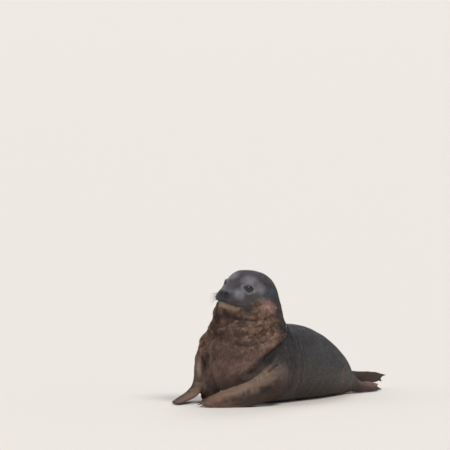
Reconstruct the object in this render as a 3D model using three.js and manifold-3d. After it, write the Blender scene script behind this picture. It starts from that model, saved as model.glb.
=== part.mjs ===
// A young elephant seal pup, life size, propped up on its two fore flippers with the neck raised.
// Millimetres, +Z up. The pup faces -X, its left side faces -Y, and the origin lies on the floor
// under the middle of the belly, which rests on the plane z = 0 as the two hands do.
import * as THREE from "three";
import { mergeVertices } from "three/addons/utils/BufferGeometryUtils.js";
import Module from "manifold-3d";

const wasm = await Module();
wasm.setup();

// Gap kept between nodes that touch.
const GAP = 0.3;
const HEAD_ROUND = 0.93;
const TRUNK_SIDES = 38;
const TRUNK_STEP = 24;
const NECK_STEP = 15;
const HEAD_SIDES = 34;
const HEAD_STEPS = 24;
const FORE_STEPS = 20;
const HIND_STEPS = 13;

// The trunk from the top of the nape to the root of the tail. x and z are the middle of a section,
// heading is the way the body runs on from it in degrees above +X, side is the half width, and back
// and belly are the reaches from the middle to the back and to the belly. A round of 1 gives an
// ellipse, and less gives a squarer section.
const TRUNK = [
  { at: "nape top", x: -128, z: 486, heading: -72, side: 10, back: 10, belly: 10, round: 0.95 },
  { at: "nape dome", x: -130, z: 474, heading: -76, side: 52, back: 44, belly: 52, round: 0.95 },
  { at: "nape", x: -136, z: 448, heading: -82, side: 86, back: 78, belly: 88, round: 0.95 },
  { at: "jaw", x: -145, z: 412, heading: -86, side: 107, back: 98, belly: 108, round: 0.93 },
  { at: "throat", x: -155, z: 370, heading: -88, side: 123, back: 109, belly: 122, round: 0.93 },
  { at: "neck", x: -162, z: 325, heading: -85, side: 136, back: 119, belly: 127, round: 0.93 },
  { at: "neck root", x: -155, z: 280, heading: -74, side: 151, back: 118, belly: 145, round: 0.9 },
  { at: "breast", x: -136, z: 238, heading: -58, side: 165, back: 118, belly: 172, round: 0.87 },
  { at: "shoulder", x: -98, z: 192, heading: -40, side: 171, back: 126, belly: 204, round: 0.83 },
  { at: "behind it", x: -42, z: 160, heading: -22, side: 169, back: 138, belly: 176, round: 0.84 },
  { at: "chest back", x: 24, z: 141, heading: -8, side: 163, back: 151, belly: 147, round: 0.86 },
  { at: "hump", x: 92, z: 131, heading: -4, side: 156, back: 156, belly: 138, round: 0.88 },
  { at: "loin", x: 165, z: 120, heading: -8, side: 144, back: 143, belly: 128, round: 0.9 },
  { at: "haunch", x: 238, z: 104, heading: -12, side: 125, back: 121, belly: 112, round: 0.92 },
  { at: "hip", x: 305, z: 85, heading: -14, side: 101, back: 99, belly: 92, round: 0.95 },
  { at: "rump", x: 362, z: 67, heading: -14, side: 77, back: 74, belly: 73, round: 0.95 },
  { at: "tail root", x: 408, z: 55, heading: -10, side: 53, back: 49, belly: 56, round: 0.95 },
  { at: "tail side", x: 440, z: 49, heading: -8, side: 33, back: 32, belly: 42, round: 0.95 },
  { at: "end", x: 455, z: 46, heading: -8, side: 10, back: 12, belly: 14, round: 0.95 },
];
// Where the trunk is parted, as the stations that close each node.
const TRUNK_NODES = [
  { name: "neck", from: "nape top", to: "neck root", step: NECK_STEP },
  { name: "chest", from: "neck root", to: "chest back", step: TRUNK_STEP },
  { name: "belly", from: "chest back", to: "haunch", step: TRUNK_STEP },
  { name: "rump", from: "haunch", to: "end", step: TRUNK_STEP },
];
// Soft rolls of loose skin across the throat and breast.
const THROAT_ROLLS = { from: 60, to: 330, pitch: 46, depth: 3.5 };

// The head in its own frame: u runs forward to the nose, v to the left, w up.
const HEAD = {
  centre: new THREE.Vector3(-160, 0, 428),
  turnLeft: 4,
  noseUp: 1,
  leanLeft: 9,
};
// middle is the height of a section's own middle, top and under its reaches from there.
const SKULL = [
  { at: "nose tip", u: 154, middle: -16, side: 10, top: 8, under: 8 },
  { at: "nose", u: 150, middle: -17, side: 27, top: 19, under: 22 },
  { at: "snout", u: 137, middle: -20, side: 42, top: 27, under: 36 },
  { at: "whisker pads", u: 116, middle: -20, side: 52, top: 36, under: 49 },
  { at: "bridge", u: 91, middle: -15, side: 62, top: 47, under: 61 },
  { at: "eyes", u: 64, middle: -8, side: 73, top: 59, under: 72 },
  { at: "brow", u: 36, middle: -2, side: 86, top: 69, under: 84 },
  { at: "crown", u: 6, middle: 0, side: 95, top: 75, under: 92 },
  { at: "ears", u: -24, middle: 0, side: 97, top: 75, under: 95 },
  { at: "back of cheeks", u: -54, middle: -4, side: 90, top: 70, under: 88 },
  { at: "occiput", u: -80, middle: -8, side: 70, top: 52, under: 68 },
  { at: "behind", u: -98, middle: -12, side: 36, top: 28, under: 36 },
  { at: "end", u: -103, middle: -13, side: 8, top: 8, under: 8 },
];
const WHISKER_PAD = { u: 123, v: 25, w: -29, du: 30, dv: 26, dw: 23 };
const CHIN = { u: 104, w: -64, du: 41, dv: 44, dw: 32 };
const NOSE_PAD = { u: 146, w: -12, du: 13, dv: 19, dw: 13 };
const EYE = { u: 66, v: 43, w: 15, radius: 21, lookOut: 0.82, lookUp: 0.12 };
// The lids cover the eyeball but for an almond gap of this half width and half height.
const LIDS = { thick: 3, wide: 17.5, high: 8.6, slant: 8 };
const NOSTRIL = { v: 9.5, w: -9, du: 9, dv: 2.8, dw: 6.5, slant: 28 };
const MOUTH = { u: 84, w: -39, dip: 9, sweep: 88, high: 2, deep: 5 };
const EAR_PIT = { u: 4, w: 6, radius: 4.5 };

// Fore limb sizes along its length, from inside the shoulder to the longest digit.
const FORE_SIZES = [
  { along: 0, broad: 56, thick: 38 },
  { along: 0.2, broad: 70, thick: 40 },
  { along: 0.42, broad: 66, thick: 31 },
  { along: 0.62, broad: 49, thick: 20 },
  { along: 0.8, broad: 47, thick: 12 },
  { along: 0.93, broad: 40, thick: 7 },
  { along: 1, broad: 30, thick: 3.5 },
];
// The course of each fore limb, and edge, the way its leading edge points at each place.
const FORE_LEFT = [
  { at: "shoulder", x: -60, y: -92, z: 212, edge: [-0.75, -0.1, 0.65] },
  { at: "upper arm", x: -108, y: -128, z: 170, edge: [-0.72, -0.1, 0.66] },
  { at: "elbow", x: -174, y: -150, z: 100, edge: [-0.5, 0.05, 0.85] },
  { at: "wrist", x: -258, y: -128, z: 60, edge: [-0.2, 0.1, 0.97] },
  { at: "hand", x: -340, y: -62, z: 25, edge: [-0.1, 0.55, 0.82] },
  { at: "tips", x: -404, y: 2, z: 8, edge: [0.3, 0.76, 0.5] },
];
const FORE_RIGHT = [
  { at: "shoulder", x: -110, y: 110, z: 258, edge: [-0.8, 0, 0.6] },
  { at: "upper arm", x: -154, y: 152, z: 216, edge: [-0.85, -0.1, 0.5] },
  { at: "elbow", x: -200, y: 184, z: 140, edge: [-0.85, -0.4, 0.3] },
  { at: "wrist", x: -222, y: 196, z: 62, edge: [-0.6, -0.8, 0.25] },
  { at: "hand", x: -292, y: 184, z: 25, edge: [-0.1, -0.98, 0.2] },
  { at: "tips", x: -386, y: 162, z: 8, edge: [0.1, -0.99, 0.08] },
];
// The fold of flesh that ties the right arm to the breast, down to the floor.
const ARMPIT = { x: -210, y: 148, z: 74, dx: 36, dy: 44, dz: 88 };
const FORE_DIGITS = { from: 0.62, ridge: 0.16, lengths: [26, 20, 10, -2, -16] };
const CLAW = { length: 20, radius: 3.4, sides: 6, sink: 9 };

const HIND_SIZES = [
  { along: 0, broad: 32, thick: 24 },
  { along: 0.25, broad: 28, thick: 18 },
  { along: 0.5, broad: 27, thick: 12 },
  { along: 0.8, broad: 25, thick: 7 },
  { along: 1, broad: 19, thick: 3.5 },
];
const HIND_LEFT = [
  { at: "ankle", x: 380, y: -22, z: 36, edge: [0, 0.4, 0.9] },
  { at: "foot", x: 446, y: -28, z: 27, edge: [0, 0.5, 0.85] },
  { at: "web", x: 518, y: -30, z: 22, edge: [0, 0.65, 0.75] },
  { at: "tips", x: 588, y: -30, z: 17, edge: [0, 0.75, 0.65] },
];
const HIND_RIGHT = [
  { at: "ankle", x: 380, y: 22, z: 56, edge: [0.1, -0.25, 0.95] },
  { at: "foot", x: 460, y: 30, z: 58, edge: [0.1, -0.25, 0.95] },
  { at: "web", x: 572, y: 34, z: 52, edge: [0.05, -0.35, 0.93] },
  { at: "tips", x: 686, y: 30, z: 42, edge: [0, -0.5, 0.86] },
];
const HIND_DIGITS = { from: 0.4, ridge: 0.16, lengths: [22, 4, -8, 2, 14] };

const TAIL = [
  { at: "root", x: 404, z: 62, heading: -10, side: 30, back: 18, belly: 18, round: 1 },
  { at: "middle", x: 448, z: 60, heading: -12, side: 23, back: 12, belly: 12, round: 1 },
  { at: "end", x: 484, z: 53, heading: -14, side: 14, back: 7, belly: 7, round: 1 },
  { at: "tip", x: 494, z: 50, heading: -14, side: 5, back: 3, belly: 3, round: 1 },
];

const FLOOR_REACH = 2000;

// Materials
const coat = (color, roughness) =>
  new THREE.MeshStandardMaterial({ color, roughness, metalness: 0 });
const HEAD_COAT = coat(0x46444a, 0.75);
const THROAT_COAT = coat(0x543e34, 0.85);
const BACK_COAT = coat(0x3e3b3e, 0.8);
const FLIPPER_COAT = coat(0x5a4b42, 0.8);
const EYEBALL = coat(0x0a090a, 0.08);

// A cubic that passes through (xs, ys) and never overshoots them.
function smoothThrough(xs, ys) {
  const last = xs.length - 1;
  const width = (i) => xs[i + 1] - xs[i];
  const rise = (i) => (ys[i + 1] - ys[i]) / width(i);
  const slope = xs.map((_, i) => {
    if (i === 0) return rise(0);
    if (i === last) return rise(last - 1);
    const [before, after] = [rise(i - 1), rise(i)];
    if (before * after <= 0) return 0;
    const [a, b] = [2 * width(i) + width(i - 1), width(i) + 2 * width(i - 1)];
    return (a + b) / (a / before + b / after);
  });
  return (x) => {
    let i = 0;
    while (i < last - 1 && x > xs[i + 1]) i += 1;
    const t = (x - xs[i]) / width(i);
    const [s, h] = [1 - t, width(i)];
    return (
      ys[i] * s * s * (1 + 2 * t) +
      slope[i] * h * t * s * s +
      ys[i + 1] * t * t * (3 - 2 * t) -
      slope[i + 1] * h * t * t * s
    );
  };
}

// Every numeric column of a table of rows as a smooth function of the row's place in `places`.
function smoothColumns(rows, places) {
  const names = Object.keys(rows[0]).filter((k) => typeof rows[0][k] === "number");
  const curves = names.map((k) => smoothThrough(places, rows.map((row) => row[k])));
  return (t) => Object.fromEntries(names.map((k, i) => [k, curves[i](t)]));
}

const signedPower = (value, power) => Math.sign(value) * Math.abs(value) ** power;
const radians = THREE.MathUtils.degToRad;

// A closed solid through rings of equal count. Each end is closed by a strip across its ring.
function ringSolid(rings) {
  const count = rings[0].length;
  const positions = rings.flat().flatMap((p) => [p.x, p.y, p.z]);
  const faces = [];
  for (let r = 0; r < rings.length - 1; r += 1) {
    for (let k = 0; k < count; k += 1) {
      const [a, b] = [r * count + k, r * count + ((k + 1) % count)];
      faces.push(a, b, a + count, b, b + count, a + count);
    }
  }
  const closeEnd = (start, turned) => {
    for (let k = 0; k < count / 2; k += 1) {
      const upper = [start + k, start + k + 1];
      const lower = [start + ((count - k) % count), start + count - k - 1];
      const strip = [
        [upper[0], lower[1], upper[1]],
        [upper[0], lower[0], lower[1]],
      ];
      for (const [a, b, c] of strip) {
        if (a === b || b === c || a === c) continue;
        faces.push(...(turned ? [a, c, b] : [a, b, c]));
      }
    }
  };
  closeEnd(0, false);
  closeEnd((rings.length - 1) * count, true);
  return outward(positions, faces);
}

// A manifold solid from shared vertices and faces, turned so that its faces point out.
function outward(positions, faces) {
  const make = (indices) =>
    new wasm.Manifold(
      new wasm.Mesh({
        numProp: 3,
        vertProperties: new Float32Array(positions),
        triVerts: new Uint32Array(indices),
      }),
    );
  const made = make(faces);
  if (made.volume() >= 0) return made;
  const turned = [];
  for (let i = 0; i < faces.length; i += 3) turned.push(faces[i], faces[i + 2], faces[i + 1]);
  return make(turned);
}

function solidOf(geometry) {
  const bare = geometry.clone();
  bare.deleteAttribute("normal");
  bare.deleteAttribute("uv");
  const merged = mergeVertices(bare, 1e-3);
  return outward([...merged.attributes.position.array], [...merged.index.array]);
}

function geometryOf(solid) {
  const { vertProperties, triVerts } = solid.getMesh();
  const geometry = new THREE.BufferGeometry();
  geometry.setAttribute("position", new THREE.BufferAttribute(new Float32Array(vertProperties), 3));
  geometry.setIndex(new THREE.BufferAttribute(new Uint32Array(triVerts), 1));
  geometry.computeVertexNormals();
  return geometry;
}

// The largest closed surface of a solid, which drops scraps and fills sealed hollows.
function largest(solid) {
  return solid.decompose().reduce((a, b) => (b.volume() > a.volume() ? b : a));
}

const join = (solids) => solids.reduce((a, b) => a.add(b));
const floorSpace = solidOf(
  new THREE.BoxGeometry(FLOOR_REACH, FLOOR_REACH, FLOOR_REACH).translate(0, 0, FLOOR_REACH / 2),
);
const aboveFloor = (solid) => solid.intersect(floorSpace);

// Trunk and tail
function stationPlaces(rows) {
  const places = [0];
  for (let i = 1; i < rows.length; i += 1) {
    const [before, here] = [rows[i - 1], rows[i]];
    places.push(places[i - 1] + Math.hypot(here.x - before.x, here.z - before.z));
  }
  return places;
}

// The swell of the throat's rolls at a place along the trunk, strongest on the belly side.
function throatRoll(place, up) {
  const { from, to, pitch, depth } = THROAT_ROLLS;
  const inside = (place - from) / (to - from);
  if (inside <= 0 || inside >= 1) return 0;
  const front = THREE.MathUtils.clamp(0.5 - 0.9 * up, 0, 1);
  return depth * front * Math.sin(Math.PI * inside) * Math.cos((2 * Math.PI * place) / pitch);
}

function bodyRing(section, place, grow, rolls) {
  const heading = radians(section.heading);
  const ring = [];
  for (let k = 0; k < TRUNK_SIDES; k += 1) {
    const angle = (2 * Math.PI * k) / TRUNK_SIDES;
    const across = signedPower(Math.cos(angle), section.round);
    const up = signedPower(Math.sin(angle), section.round);
    const swell = grow + (rolls ? throatRoll(place, up) : 0);
    const reach = (up > 0 ? section.back : section.belly) + swell;
    ring.push(
      new THREE.Vector3(
        section.x - Math.sin(heading) * up * reach,
        across * (section.side + swell),
        section.z + Math.cos(heading) * up * reach,
      ),
    );
  }
  return ring;
}

// The body between two places of a table of stations. grow makes it stand out all round.
function bodySolid(rows, from, to, step, grow = 0, rolls = false) {
  const places = stationPlaces(rows);
  const section = smoothColumns(rows, places);
  const steps = Math.max(2, Math.round((to - from) / step));
  const rings = [];
  for (let i = 0; i <= steps; i += 1) {
    const place = from + ((to - from) * i) / steps;
    rings.push(bodyRing(section(place), place, grow, rolls));
  }
  return ringSolid(rings);
}

const trunkPlaces = stationPlaces(TRUNK);
const trunkPlace = (name) => trunkPlaces[TRUNK.findIndex((row) => row.at === name)];

// A node of the trunk, reaching on at both ends by `reach` and standing out all round by `grow`.
function trunkPiece({ from, to, step }, reach, grow = 0) {
  const start = trunkPlace(from) - (from === TRUNK[0].at ? 0 : reach);
  const end = trunkPlace(to) + (to === TRUNK.at(-1).at ? 0 : reach);
  return bodySolid(TRUNK, start, end, step, grow, true);
}

const trunkGrown = join(TRUNK_NODES.map((node) => trunkPiece(node, GAP / 2, GAP)));
const tailEnd = stationPlaces(TAIL).at(-1);
const tailSolid = largest(bodySolid(TAIL, 0, tailEnd, TRUNK_STEP / 2).subtract(trunkGrown));
const tailGrown = bodySolid(TAIL, 0, tailEnd, TRUNK_STEP / 2, GAP);

// Head
const headFrame = new THREE.Matrix4()
  .makeTranslation(HEAD.centre)
  .multiply(new THREE.Matrix4().makeRotationZ(Math.PI + radians(HEAD.turnLeft)))
  .multiply(new THREE.Matrix4().makeRotationY(-radians(HEAD.noseUp)))
  .multiply(new THREE.Matrix4().makeRotationX(-radians(HEAD.leanLeft)));

function skullSolid(grow = 0) {
  // Rings lie closer towards both ends, so that these stay round.
  const [front, rear] = [SKULL[0].u, SKULL.at(-1).u];
  const section = smoothColumns(SKULL, SKULL.map((row) => -row.u));
  const rings = [];
  for (let i = 0; i <= HEAD_STEPS; i += 1) {
    const toFront = Math.cos((Math.PI * i) / HEAD_STEPS);
    const place = (front + rear) / 2 + ((front - rear) / 2) * toFront;
    const u = place + grow * toFront;
    const { middle, side, top, under } = section(-place);
    const ring = [];
    for (let k = 0; k < HEAD_SIDES; k += 1) {
      const angle = (2 * Math.PI * k) / HEAD_SIDES;
      const across = signedPower(Math.cos(angle), HEAD_ROUND);
      const up = signedPower(Math.sin(angle), HEAD_ROUND);
      const reach = (up > 0 ? top : under) + grow;
      ring.push(new THREE.Vector3(u, across * (side + grow), middle + up * reach));
    }
    rings.push(ring);
  }
  return ringSolid(rings);
}

function ellipsoid({ u, v = 0, w, du, dv, dw }, side, grow) {
  const ball = new THREE.SphereGeometry(1, 16, 8).scale(du + grow, dv + grow, dw + grow);
  return solidOf(ball.translate(u, v * side, w));
}

// The flesh of the head, before eyes, nostrils, mouth and ears are cut in it.
function faceSolid(grow = 0) {
  return join([
    skullSolid(grow),
    ellipsoid(WHISKER_PAD, 1, grow),
    ellipsoid(WHISKER_PAD, -1, grow),
    ellipsoid(CHIN, 1, grow),
    ellipsoid(NOSE_PAD, 1, grow),
  ]);
}

const eyeCentre = (side) => new THREE.Vector3(EYE.u, EYE.v * side, EYE.w);
const eyeLook = (side) =>
  new THREE.Vector3(
    Math.sqrt(1 - EYE.lookOut ** 2 - EYE.lookUp ** 2),
    EYE.lookOut * side,
    EYE.lookUp,
  );

const eyeBall = (side, radius) =>
  solidOf(new THREE.SphereGeometry(radius, 20, 14).translate(...eyeCentre(side)));

// The gap between the lids, as a prism from the middle of the eye outwards the way it looks.
function lidGap(side) {
  const { wide, high, slant } = LIDS;
  const almond = new THREE.Shape();
  almond.moveTo(-wide, 0);
  almond.bezierCurveTo(-wide / 2, high * 1.3, wide / 2, high * 1.3, wide, 0);
  almond.bezierCurveTo(wide / 2, -high * 1.3, -wide / 2, -high * 1.3, -wide, 0);
  const prism = new THREE.ExtrudeGeometry(almond, {
    depth: 2 * EYE.radius,
    bevelEnabled: false,
    curveSegments: 8,
  });
  prism.rotateZ(-side * radians(slant));
  const place = new THREE.Matrix4().lookAt(
    eyeLook(side),
    new THREE.Vector3(),
    new THREE.Vector3(0, 0, 1),
  );
  place.setPosition(eyeCentre(side));
  return solidOf(prism.applyMatrix4(place));
}

// The groove of the closed mouth, laid on the surface of the muzzle from one corner to the other.
function mouthGroove(face) {
  const skin = new THREE.Mesh(geometryOf(face), new THREE.MeshBasicMaterial({ side: THREE.DoubleSide }));
  const ray = new THREE.Raycaster();
  const points = [];
  const steps = 22;
  for (let i = 0; i <= steps; i += 1) {
    const angle = radians(MOUTH.sweep) * ((2 * i) / steps - 1);
    const height = MOUTH.w - MOUTH.dip * Math.abs(Math.sin(angle)) + 3 * Math.cos(3 * angle);
    ray.set(
      new THREE.Vector3(MOUTH.u, 0, height),
      new THREE.Vector3(Math.cos(angle), Math.sin(angle), 0),
    );
    points.push(ray.intersectObject(skin).at(-1).point);
  }
  const sides = 6;
  const rings = points.map((p, i) => {
    const before = points[Math.max(i - 1, 0)];
    const after = points[Math.min(i + 1, steps)];
    const along = after.clone().sub(before).setZ(0).normalize();
    const out = new THREE.Vector3(along.y, -along.x, 0);
    const fade = Math.min(1, (Math.min(i, steps - i) + 1) / 4);
    return Array.from({ length: sides }, (_, k) => {
      const angle = (2 * Math.PI * k) / sides;
      return p
        .clone()
        .addScaledVector(out, Math.cos(angle) * MOUTH.deep * fade)
        .setZ(p.z + Math.sin(angle) * MOUTH.high * fade);
    });
  });
  return ringSolid(rings);
}

function nostril(side) {
  const { v, w, du, dv, dw, slant } = NOSTRIL;
  const slot = new THREE.SphereGeometry(1, 12, 8).scale(du, dv, dw);
  slot.rotateX(-side * radians(slant));
  return solidOf(slot.translate(SKULL[1].u + 6, v * side, w));
}

function earPit(side) {
  const { u, w, radius } = EAR_PIT;
  const { side: wide } = SKULL.find((row) => row.at === "crown");
  const pit = new THREE.SphereGeometry(radius, 10, 8).scale(1, 1.2, 1);
  return solidOf(pit.translate(u, side * wide, w));
}

function headSolid() {
  const both = (make) => [make(1), make(-1)];
  const face = faceSolid();
  const lidded = join([face, ...both((side) => eyeBall(side, EYE.radius + LIDS.thick))]);
  const cuts = [
    mouthGroove(face),
    ...both((side) => eyeBall(side, EYE.radius + GAP)),
    ...both(lidGap),
    ...both(nostril),
    ...both(earPit),
  ];
  return largest(cuts.reduce((a, b) => a.subtract(b), lidded)).transform(headFrame.elements);
}

const eyeSolid = (side) => eyeBall(side, EYE.radius).transform(headFrame.elements);

// Limbs
const foreSize = smoothColumns(FORE_SIZES, FORE_SIZES.map((row) => row.along));
const hindSize = smoothColumns(HIND_SIZES, HIND_SIZES.map((row) => row.along));

// Five digits lie across a blade from its leading edge, at across = 1, to its trailing edge, at -1.
const DIGITS = 5;
const digitAcross = (i) => 1 - (2 * i + 1) / DIGITS;
const digitWave = (across) => Math.cos(Math.PI * DIGITS * (across - digitAcross(0)));
// A ring has a corner on the middle of each digit and in each web between two, on both faces.
const LIMB_SIDES = 4 * DIGITS;

// How far a blade's end reaches past the course's last point, at a place across it.
function tipReach(across, digits) {
  const places = digits.lengths.map((_, i) => -digitAcross(i));
  const reach = smoothThrough([-1, ...places, 1], [
    digits.lengths[0] - 8,
    ...digits.lengths,
    digits.lengths.at(-1) - 8,
  ]);
  return reach(-across) + 3.5 * (digitWave(across) - 1);
}

// The frame of a limb at a place along it: its middle, the way on, its leading edge and its back.
function limbFrame(course, along) {
  const path = new THREE.CatmullRomCurve3(course.map((p) => new THREE.Vector3(p.x, p.y, p.z)));
  const middle = path.getPointAt(along);
  const onward = path.getTangentAt(along);
  const place = path.getUtoTmapping(along) * (course.length - 1);
  const i = Math.min(Math.floor(place), course.length - 2);
  const edge = new THREE.Vector3(...course[i].edge);
  edge.lerp(new THREE.Vector3(...course[i + 1].edge), place - i);
  edge.addScaledVector(onward, -edge.dot(onward)).normalize();
  return { middle, onward, edge, back: new THREE.Vector3().crossVectors(onward, edge) };
}

function limbSolid(course, size, digits, steps) {
  const rings = [];
  for (let i = 0; i <= steps; i += 1) {
    const along = 1 - (1 - i / steps) ** 1.25;
    const { middle, onward, edge, back } = limbFrame(course, along);
    const { broad, thick } = size(along);
    const hand = THREE.MathUtils.smoothstep(along, digits.from, 1);
    const ring = [];
    for (let k = 0; k < LIMB_SIDES; k += 1) {
      const angle = (2 * Math.PI * k) / LIMB_SIDES;
      const even = 1 - 4 * Math.abs(Math.min(k, LIMB_SIDES - k) / LIMB_SIDES);
      const across = THREE.MathUtils.lerp(Math.cos(angle), even, Math.min(1, 3 * hand));
      const height = Math.sign(Math.sin(angle)) * Math.sqrt(Math.max(0, 1 - across ** 2));
      const ridge = 1 + digits.ridge * Math.min(1, 3 * hand) * digitWave(across);
      ring.push(
        middle
          .clone()
          .addScaledVector(edge, broad * across)
          .addScaledVector(back, thick * height * ridge)
          .addScaledVector(onward, hand * tipReach(across, digits)),
      );
    }
    rings.push(ring);
  }
  return ringSolid(rings);
}

// A curved, pointed claw on the end of digit i, sunk well into the blade.
function claw(course, size, digits, i) {
  const { middle, onward, edge, back } = limbFrame(course, 1);
  const across = digitAcross(i) * 0.94;
  const { broad } = size(1);
  const root = middle
    .clone()
    .addScaledVector(edge, broad * across)
    .addScaledVector(onward, tipReach(across, digits) - CLAW.sink);
  const down = back.z > 0 ? -1 : 1;
  const steps = 4;
  const rings = [];
  for (let s = 0; s <= steps; s += 1) {
    const t = s / steps;
    const centre = root
      .clone()
      .addScaledVector(onward, CLAW.length * t)
      .addScaledVector(back, down * (3 * t * t - 1.5));
    const radius = CLAW.radius * (1 - 0.86 * t * t);
    rings.push(
      Array.from({ length: CLAW.sides }, (_, k) => {
        const angle = (2 * Math.PI * k) / CLAW.sides;
        return centre
          .clone()
          .addScaledVector(edge, radius * Math.cos(angle) * 0.8)
          .addScaledVector(back, radius * Math.sin(angle));
      }),
    );
  }
  return ringSolid(rings);
}

function armpitFold() {
  const { x, y, z, dx, dy, dz } = ARMPIT;
  return solidOf(new THREE.SphereGeometry(1, 14, 8).scale(dx, dy, dz).translate(x, y, z));
}

function foreFlipper(course, extra = []) {
  const limb = limbSolid(course, foreSize, FORE_DIGITS, FORE_STEPS);
  const claws = FORE_DIGITS.lengths.map((_, i) => claw(course, foreSize, FORE_DIGITS, i));
  return largest(aboveFloor(join([limb, ...claws, ...extra])).subtract(trunkGrown));
}

function hindFlipper(course) {
  const limb = limbSolid(course, hindSize, HIND_DIGITS, HIND_STEPS);
  return largest(aboveFloor(limb).subtract(trunkGrown).subtract(tailGrown));
}

// Assembly
const seal = new THREE.Group();
function addNode(name, solid, material) {
  const mesh = new THREE.Mesh(geometryOf(solid), material);
  mesh.name = name;
  seal.add(mesh);
}

const headGrown = faceSolid(GAP).transform(headFrame.elements);
for (const node of TRUNK_NODES) {
  const piece = aboveFloor(trunkPiece(node, -GAP / 2));
  const solid = node.name === "neck" ? largest(piece.subtract(headGrown)) : piece;
  addNode(node.name, solid, node.name === "neck" ? THROAT_COAT : BACK_COAT);
}
addNode("head", headSolid(), HEAD_COAT);
addNode("eye_left", eyeSolid(1), EYEBALL);
addNode("eye_right", eyeSolid(-1), EYEBALL);
addNode("tail", tailSolid, BACK_COAT);
addNode("fore_flipper_left", foreFlipper(FORE_LEFT), FLIPPER_COAT);
addNode("fore_flipper_right", foreFlipper(FORE_RIGHT, [armpitFold()]), FLIPPER_COAT);
addNode("hind_flipper_left", hindFlipper(HIND_LEFT), FLIPPER_COAT);
addNode("hind_flipper_right", hindFlipper(HIND_RIGHT), FLIPPER_COAT);

export default seal;
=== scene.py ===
"""A young elephant seal pup, life size, propped on its fore flippers in its first dark, woolly coat."""
import math

import bmesh
import bpy
import numpy as np
from mathutils import Matrix, Vector
from mathutils.bvhtree import BVHTree


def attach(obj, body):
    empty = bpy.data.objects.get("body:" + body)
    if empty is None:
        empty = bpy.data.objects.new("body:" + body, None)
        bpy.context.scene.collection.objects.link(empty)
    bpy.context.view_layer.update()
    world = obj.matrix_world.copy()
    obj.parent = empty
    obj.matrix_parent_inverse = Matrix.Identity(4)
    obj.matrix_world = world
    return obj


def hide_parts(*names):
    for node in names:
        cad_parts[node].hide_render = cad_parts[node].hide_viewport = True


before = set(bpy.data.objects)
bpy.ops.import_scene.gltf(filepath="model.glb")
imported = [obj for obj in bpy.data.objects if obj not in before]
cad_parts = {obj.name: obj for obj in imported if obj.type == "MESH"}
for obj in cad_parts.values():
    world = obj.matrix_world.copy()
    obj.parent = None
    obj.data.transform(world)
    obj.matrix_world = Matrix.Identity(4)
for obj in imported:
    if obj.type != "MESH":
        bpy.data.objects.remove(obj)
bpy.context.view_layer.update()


# Viewpoint
# The pup is seen from its own eye height with a long lens, from ahead and to its left, and it
# sits low in the picture. Pixels here are those of a frame 450 wide and high.
VIEW_TURN = -50
VIEW_FALL = 5
VIEW_DISTANCE = 16.0
METRES_PER_PIXEL = 0.0038
FRAME_PIXELS = 450
PUP_ORIGIN_PIXEL = (275.7, 400.3)
SENSOR_MM = 36
SIGHT = 200

turn, fall = math.radians(VIEW_TURN), math.radians(VIEW_FALL)
view_right = Vector((math.cos(turn), math.sin(turn), 0))
view_ahead = Vector((-math.sin(turn) * math.cos(fall), math.cos(turn) * math.cos(fall), -math.sin(fall)))
view_up = view_right.cross(view_ahead)
frame_middle = METRES_PER_PIXEL * (
    (FRAME_PIXELS / 2 - PUP_ORIGIN_PIXEL[0]) * view_right
    - (FRAME_PIXELS / 2 - PUP_ORIGIN_PIXEL[1]) * view_up
)
camera = bpy.data.objects.new("camera", bpy.data.cameras.new("camera"))
camera.location = -VIEW_DISTANCE * view_ahead
camera.rotation_euler = (frame_middle - camera.location).to_track_quat("-Z", "Y").to_euler()
camera.data.sensor_width = SENSOR_MM
camera.data.lens = SENSOR_MM * VIEW_DISTANCE / (FRAME_PIXELS * METRES_PER_PIXEL)
camera.data.clip_end = SIGHT
bpy.context.scene.collection.objects.link(camera)
bpy.context.scene.camera = camera
bpy.context.scene.view_settings.view_transform = "Standard"


# Studio floor
# A wide, plain, matt sheet in a pale warm grey, flat round the pup and swept up far away to hide
# the horizon.
FLOOR_REACH, FLOOR_FLAT, FLOOR_SWEEP = 400, 40, 2000
FLOOR_RINGS, FLOOR_SIDES = 40, 96
FLOOR_COLOR, FLOOR_ROUGHNESS = (0.66, 0.63, 0.59), 0.95


def new_piece(name, points, *face_sets):
    """A mesh object at the origin from an (n, 3) array of points and arrays of 3 or 4 corners a face."""
    mesh = bpy.data.meshes.new(name)
    corners = np.concatenate([faces.ravel() for faces in face_sets]).astype(np.int32)
    sizes = np.concatenate([np.full(len(faces), faces.shape[1]) for faces in face_sets])
    mesh.vertices.add(len(points))
    mesh.vertices.foreach_set("co", np.asarray(points, np.float32).ravel())
    mesh.loops.add(len(corners))
    mesh.loops.foreach_set("vertex_index", corners)
    mesh.polygons.add(len(sizes))
    mesh.polygons.foreach_set("loop_start", np.concatenate([[0], np.cumsum(sizes)[:-1]]).astype(np.int32))
    mesh.update(calc_edges=True)
    piece = bpy.data.objects.new(name, mesh)
    bpy.context.scene.collection.objects.link(piece)
    return piece


def smooth(piece):
    """Shades every face of a piece smoothly."""
    piece.data.polygons.foreach_set("use_smooth", np.ones(len(piece.data.polygons), bool))


def round_grid(values, sides):
    """The given values by angles all the way round, as a grid of values and a grid of angles."""
    return np.meshgrid(values, np.linspace(0, 2 * np.pi, sides, endpoint=False), indexing="ij")


def new_material(name, color, roughness):
    """A Principled material, given back with its node tree and its shader."""
    material = bpy.data.materials.new(name)
    material.use_nodes = True
    shader = material.node_tree.nodes["Principled BSDF"]
    shader.inputs["Base Color"].default_value = (*color, 1)
    shader.inputs["Roughness"].default_value = roughness
    return material, material.node_tree, shader


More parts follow.
